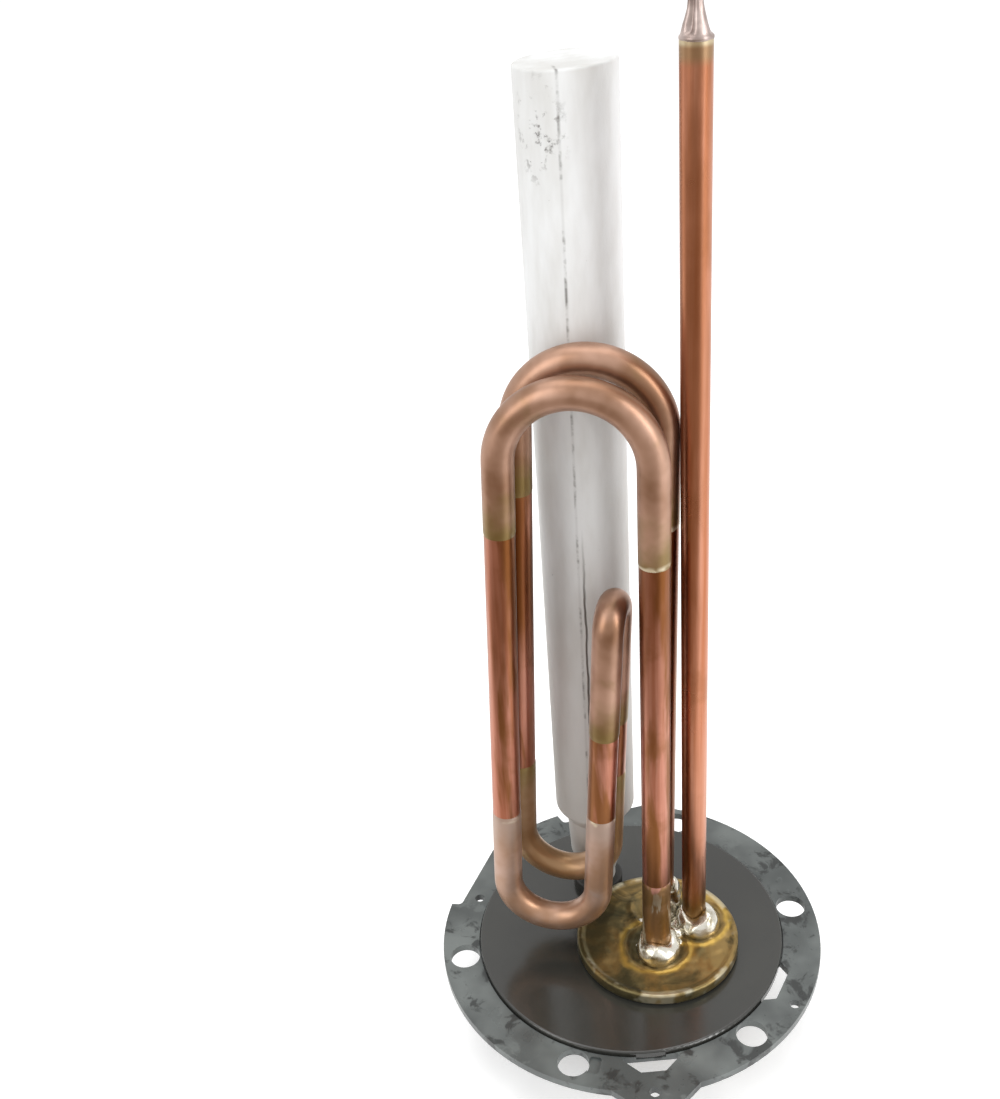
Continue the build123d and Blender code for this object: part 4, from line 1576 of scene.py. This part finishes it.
@dataclass(frozen=True)
class PinchedTip:
    """Closed end of the thermostat pocket: squeezed to folds and sealed.

    Sizes are millimetres and degrees. The outline gives heights and radii, from the collar up to
    the blunt end.
    """

    foot: Triple = (*POCKET_CENTRE_MM, 5.0)
    lean: Pair = (0.56, 0.32)
    outline: tuple[Pair, ...] = (
        (269.6, 2.8), (272.3, 3.0), (272.4, 3.72), (272.75, 3.84), (273.2, 3.8), (273.5, 3.5),
        (273.8, 3.38), (274.5, 3.22), (275.5, 2.95), (276.5, 2.6), (277.5, 2.28), (278.5, 2.04),
        (279.5, 1.88), (280.5, 1.78), (281.3, 1.68), (281.8, 1.4), (282.0, 0.9))
    folds: int = 3
    fold_deep: float = 0.46
    fold_sharp: int = 3
    fold_from: float = 273.5
    fold_full: float = 274.6
    fold_turn: float = 0.9
    uneven: float = 0.09
    lumps_around: float = 2
    lump_up_mm: float = 1.5
    around: int = 96

    def build(self, material: bpy.types.Material) -> bpy.types.Object:
        """Shape the tip as a closed skin that stands for the plain cone.

        Args:
            material: Finish of the solder.

        Returns:
            The finished tip.
        """
        rows = []
        for height, radius in self.outline:
            x = self.foot[0] - (height - self.foot[2]) * tan(radians(self.lean[0]))
            y = self.foot[1] - (height - self.foot[2]) * tan(radians(self.lean[1]))
            pinch = min(max((height - self.fold_from) / (self.fold_full - self.fold_from), 0.0), 1.0)
            row = []
            for i in range(self.around):
                angle = 2 * pi * i / self.around
                hollow = (0.5 + 0.5 * cos(self.folds * angle + self.fold_turn)) ** self.fold_sharp
                far = radius * (1 - self.fold_deep * hollow * pinch)
                far += self.uneven * noise.noise(Vector((cos(angle) * self.lumps_around,
                                                         sin(angle) * self.lumps_around,
                                                         height / self.lump_up_mm)))
                row.append(Vector((x + far * cos(angle), y + far * sin(angle), height)))
            rows.append(row)
        tip = ring_mesh("pinched_tip", rows, False, material)
        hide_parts("pocket_tip")
        return tip


@dataclass
class HeadWork:
    """Braze, flux crust and pinched tip around the head and the pocket."""

    finishes: dict[str, bpy.types.Material]
    beads: tuple[BrazeBead, ...] = (
        BrazeBead("braze_front", (6.09, -12.85), 4.25, 6.8, 5.6, (0.2, -2.0), 0.4),
        BrazeBead("braze_pocket", POCKET_CENTRE_MM, 3.76, 6.7, 5.8, (0.7, -2.3), 2.3),
        BrazeBead("braze_rear", (10.97, 3.16), 4.25, 6.3, 12.0, (0.7, -0.4), 4.1),
    )

    def build(self) -> list[bpy.types.Object]:
        """Make every piece of this group.

        Returns:
            The finished pieces.
        """
        pieces = [bead.build(self.finishes["braze"]) for bead in self.beads]
        pieces.append(SpiltBraze().build(self.finishes["braze"]))
        pieces.append(FluxCrust().build(self.finishes["brass"]))
        pieces.append(PinchedTip().build(self.finishes["tip"]))
        return pieces


@dataclass
class NodeDress:
    """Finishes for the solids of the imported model."""

    finishes: dict[str, bpy.types.Material]
    wearers: dict[str, tuple[str, ...]]

    def build(self) -> None:
        """Give each solid its finish."""
        for finish, names in self.wearers.items():
            for name in names:
                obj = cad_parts[name]
                obj.data.materials.clear()
                obj.data.materials.append(self.finishes[finish])
                LOG.info("%s wears %s", name, finish)


@dataclass(frozen=True)
class Lamp:
    """Soft rectangular lamp: its place and its size in metres, and its watts."""

    name: str
    place: Triple
    size: Pair
    power: float


@dataclass
class Studio:
    """Pale floor, soft lamps and the camera at the photograph's angle.

    The camera's eye is in millimetres and its angles are in degrees. The focal length and the
    centre of the picture are pixels of the photograph.
    """

    eye: Triple = (-57.55, -293.38, 321.77)
    angles: Triple = (57.4317, 3.2859, -8.4536)
    focal_px: float = 1289.35
    photo_px: tuple[int, int] = (1000, 1099)
    centre_px: Pair = (531.94, 598.5)
    sensor_mm: float = 36.0
    nearest: float = 0.01
    floor_size: float = 12.0
    seen_air: float = 1.0
    lit_air: float = 0.8
    aim: Triple = (0, 0, 0.12)
    lamps: tuple[Lamp, ...] = (
        Lamp("lamp_left", (-1.0, -0.5, 0.7), (0.6, 1.1), 6.0),
        Lamp("lamp_right", (0.9, -0.8, 0.7), (0.4, 1.0), 8.0),
        Lamp("lamp_top", (0.0, 0.2, 1.4), (1.2, 1.0), 7.0),
    )

    def camera(self) -> None:
        """Set the camera."""
        data = bpy.data.cameras.new("photo_camera")
        data.sensor_fit = "VERTICAL"
        data.sensor_height = self.sensor_mm
        data.sensor_width = self.sensor_mm
        wide, high = self.photo_px
        data.lens = self.focal_px / high * self.sensor_mm
        data.shift_x = -(self.centre_px[0] - wide / 2) / high
        data.shift_y = (self.centre_px[1] - high / 2) / high
        data.clip_start = self.nearest
        obj = show("photo_camera", data)
        obj.location = Vector(self.eye) * MM
        obj.rotation_euler = [radians(a) for a in self.angles]
        bpy.context.scene.camera = obj

    def floor(self) -> None:
        """Lay a pale floor under the lowest point of the part."""
        low = CAD_BOX[0].z
        half = self.floor_size / 2
        mesh = bpy.data.meshes.new("studio_floor")
        mesh.from_pydata([(-half, -half, low), (half, -half, low), (half, half, low), (-half, half, low)],
                         [], [(0, 1, 2, 3)])
        mesh.materials.append(WhitePaper().make())
        obj = show("studio_floor", mesh)

    def world(self) -> None:
        """Light the room evenly, and show white behind the part and in its mirrors."""
        world = bpy.data.worlds.new("studio_air")
        bpy.context.scene.world = world
        world.use_nodes = True
        world.node_tree.nodes.clear()
        pen = NodePen(world.node_tree)
        rays = pen.add("ShaderNodeLightPath").node.outputs
        white, soft = (pen.add("ShaderNodeBackground", {"Color": "FFFFFF", "Strength": strength})
                       for strength in (self.seen_air, self.lit_air))
        shown = rays["Is Camera Ray"]
        for ray in ("Is Glossy Ray", "Is Transmission Ray"):
            shown = pen.add(MATH, {0: shown, 1: rays[ray]}, MAXIMUM)
        pick = pen.add("ShaderNodeMixShader", {0: shown, 1: soft, 2: white})
        pen.add("ShaderNodeOutputWorld", {"Surface": pick})

    def hang(self, lamp: Lamp) -> None:
        """Hang one soft lamp aimed at the middle of the part.

        Args:
            lamp: Lamp to hang.
        """
        data = bpy.data.lights.new(lamp.name, "AREA")
        data.shape = "RECTANGLE"
        data.size, data.size_y = lamp.size
        data.energy = lamp.power
        obj = show(lamp.name, data)
        obj.location = lamp.place
        toward = Vector(self.aim) - Vector(lamp.place)
        obj.rotation_euler = toward.to_track_quat("-Z", "Y").to_euler()

    def build(self) -> None:
        """Set up the whole studio."""
        bpy.context.scene.view_settings.view_transform = "Standard"
        self.camera()
        self.floor()
        self.world()
        for lamp in self.lamps:
            self.hang(lamp)


def finishes() -> dict[str, bpy.types.Material]:
    """Make every finish of the part.

    Returns:
        Materials by the name of the finish.
    """
    made = {
        "copper": DrawnCopper(),
        "pocket": PocketCopper(),
        "skin": AnnealedCopper(),
        "skin_foot": ScorchedCopper(),
        "skin_low": AnnealedCopper("annealed_copper_grey", "C2A698", "A07C62", "AC978A",
                                   patchy=0.55, metal=0.75),
        # Skin of the rear low bend: partly its own tan, partly painted light, lightened against its dark
        # reflection.
        "skin_rear": AnnealedCopper("annealed_copper_tan_painted_light", "C6A588", "9E7C58", "8E7A48",
                                    patchy=0.6, metal=0.6),
        "brass": StainedBrass(),
        # Turned brass that was never heated: clean yellow with a soft even shine.
        "nut_brass": PlainFinish("turned_brass", "C2A257", "9C7E3C", rough=0.35, metal=1.0),
        # Pressed steel, coated and handled: mottled mid grey, rubbed pale in places.
        "rim": GreyCoating("grey_coated_steel", "454948", "6A6F6D", "222423", gloss=0.3,
                           uneven=0.1, scuff=0.85, worn=0.6),
        # Fired enamel: dark, even and glossy, so it mirrors the tubes that stand on it.
        "disc": GreyCoating("grey_enamel", "2E2E2B", "343430", "252522", gloss=0.16,
                            uneven=0.05, scuff=0.12, index=1.6,
                            clouds=Patches(Grain(24.0, 3.0, 0.5), Fade(0.35, 0.68))),
        "magnesium": CastMagnesium(),
        "braze": BrightBraze(),
        # Solder over squeezed copper: dull grey with a pink cast.
        "tip": PlainFinish("pinched_grey_solder", "C6B6B0", "84736C", rough=0.4, metal=0.8,
                           grain_mm=1.2),
        # Zinc-plated steel: cool light grey with a bright soft shine.
        "steel": PlainFinish("zinc_plated_steel", "C4C6C8", "9EA0A2", rough=0.32, metal=1.0),
        # Moulded rubber, dipped silicone, moulded polyamide and pressed powder: matt, no mirror.
        "black": PlainFinish("black_rubber", "26241F", "181715", rough=0.6, metal=0.0),
        "silicone": PlainFinish("red_silicone", "9C4030", "7E3024", rough=0.5, metal=0.0),
        "white": PlainFinish("white_polyamide", "E2DED2", "CFCABC", rough=0.5, metal=0.0),
        "powder": PlainFinish("pressed_magnesia", "EAE6DC", "D6D1C4", rough=0.85, metal=0.0),
    }
    return {name: finish.make() for name, finish in made.items()}


WEARERS: dict[str, tuple[str, ...]] = {
    "rim": ("rim_ring",),
    "disc": ("centre_disc",),
    "brass": ("heater_head",),
    "nut_brass": ("head_nut",),
    "copper": ("heating_sheath",),
    "pocket": ("pocket_tube",),
    "tip": ("pocket_tip",),
    "magnesium": ("anode_body",),
    "braze": ("braze_front", "braze_rear", "braze_pocket"),
    "steel": ("head_washer", "pin_front", "pin_rear", "tab_front", "tab_rear", "anode_core",
              "anode_washer", "anode_nut", "earth_stud", "earth_washer", "earth_nut", "heating_coil"),
    "black": ("anode_seal", "heater_gasket"),
    "silicone": ("end_seal_front", "end_seal_rear"),
    "white": ("anode_insulator",),
    "powder": ("magnesia_fill",),
}


def ride_all(pieces: list[bpy.types.Object]) -> None:
    """Fix the added pieces to the part's body and log their face counts.

    Args:
        pieces: Finished pieces.
    """
    for piece in pieces:
        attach(piece, Body.ROOT.value)
        LOG.info("%s has %d faces", piece.name, len(piece.data.polygons))


def main() -> None:
    """Build the studio, dress the solids and add the fine pieces."""
    logging.basicConfig(level=logging.INFO)
    made = finishes()
    Studio().build()
    NodeDress(made, WEARERS).build()
    ride_all(BendSkins(HeatingTube(), made).build())
    ride_all(HeadWork(made).build())
    ride_all(ScrewThreads(made).build())


if __name__ == "__main__":
    main()
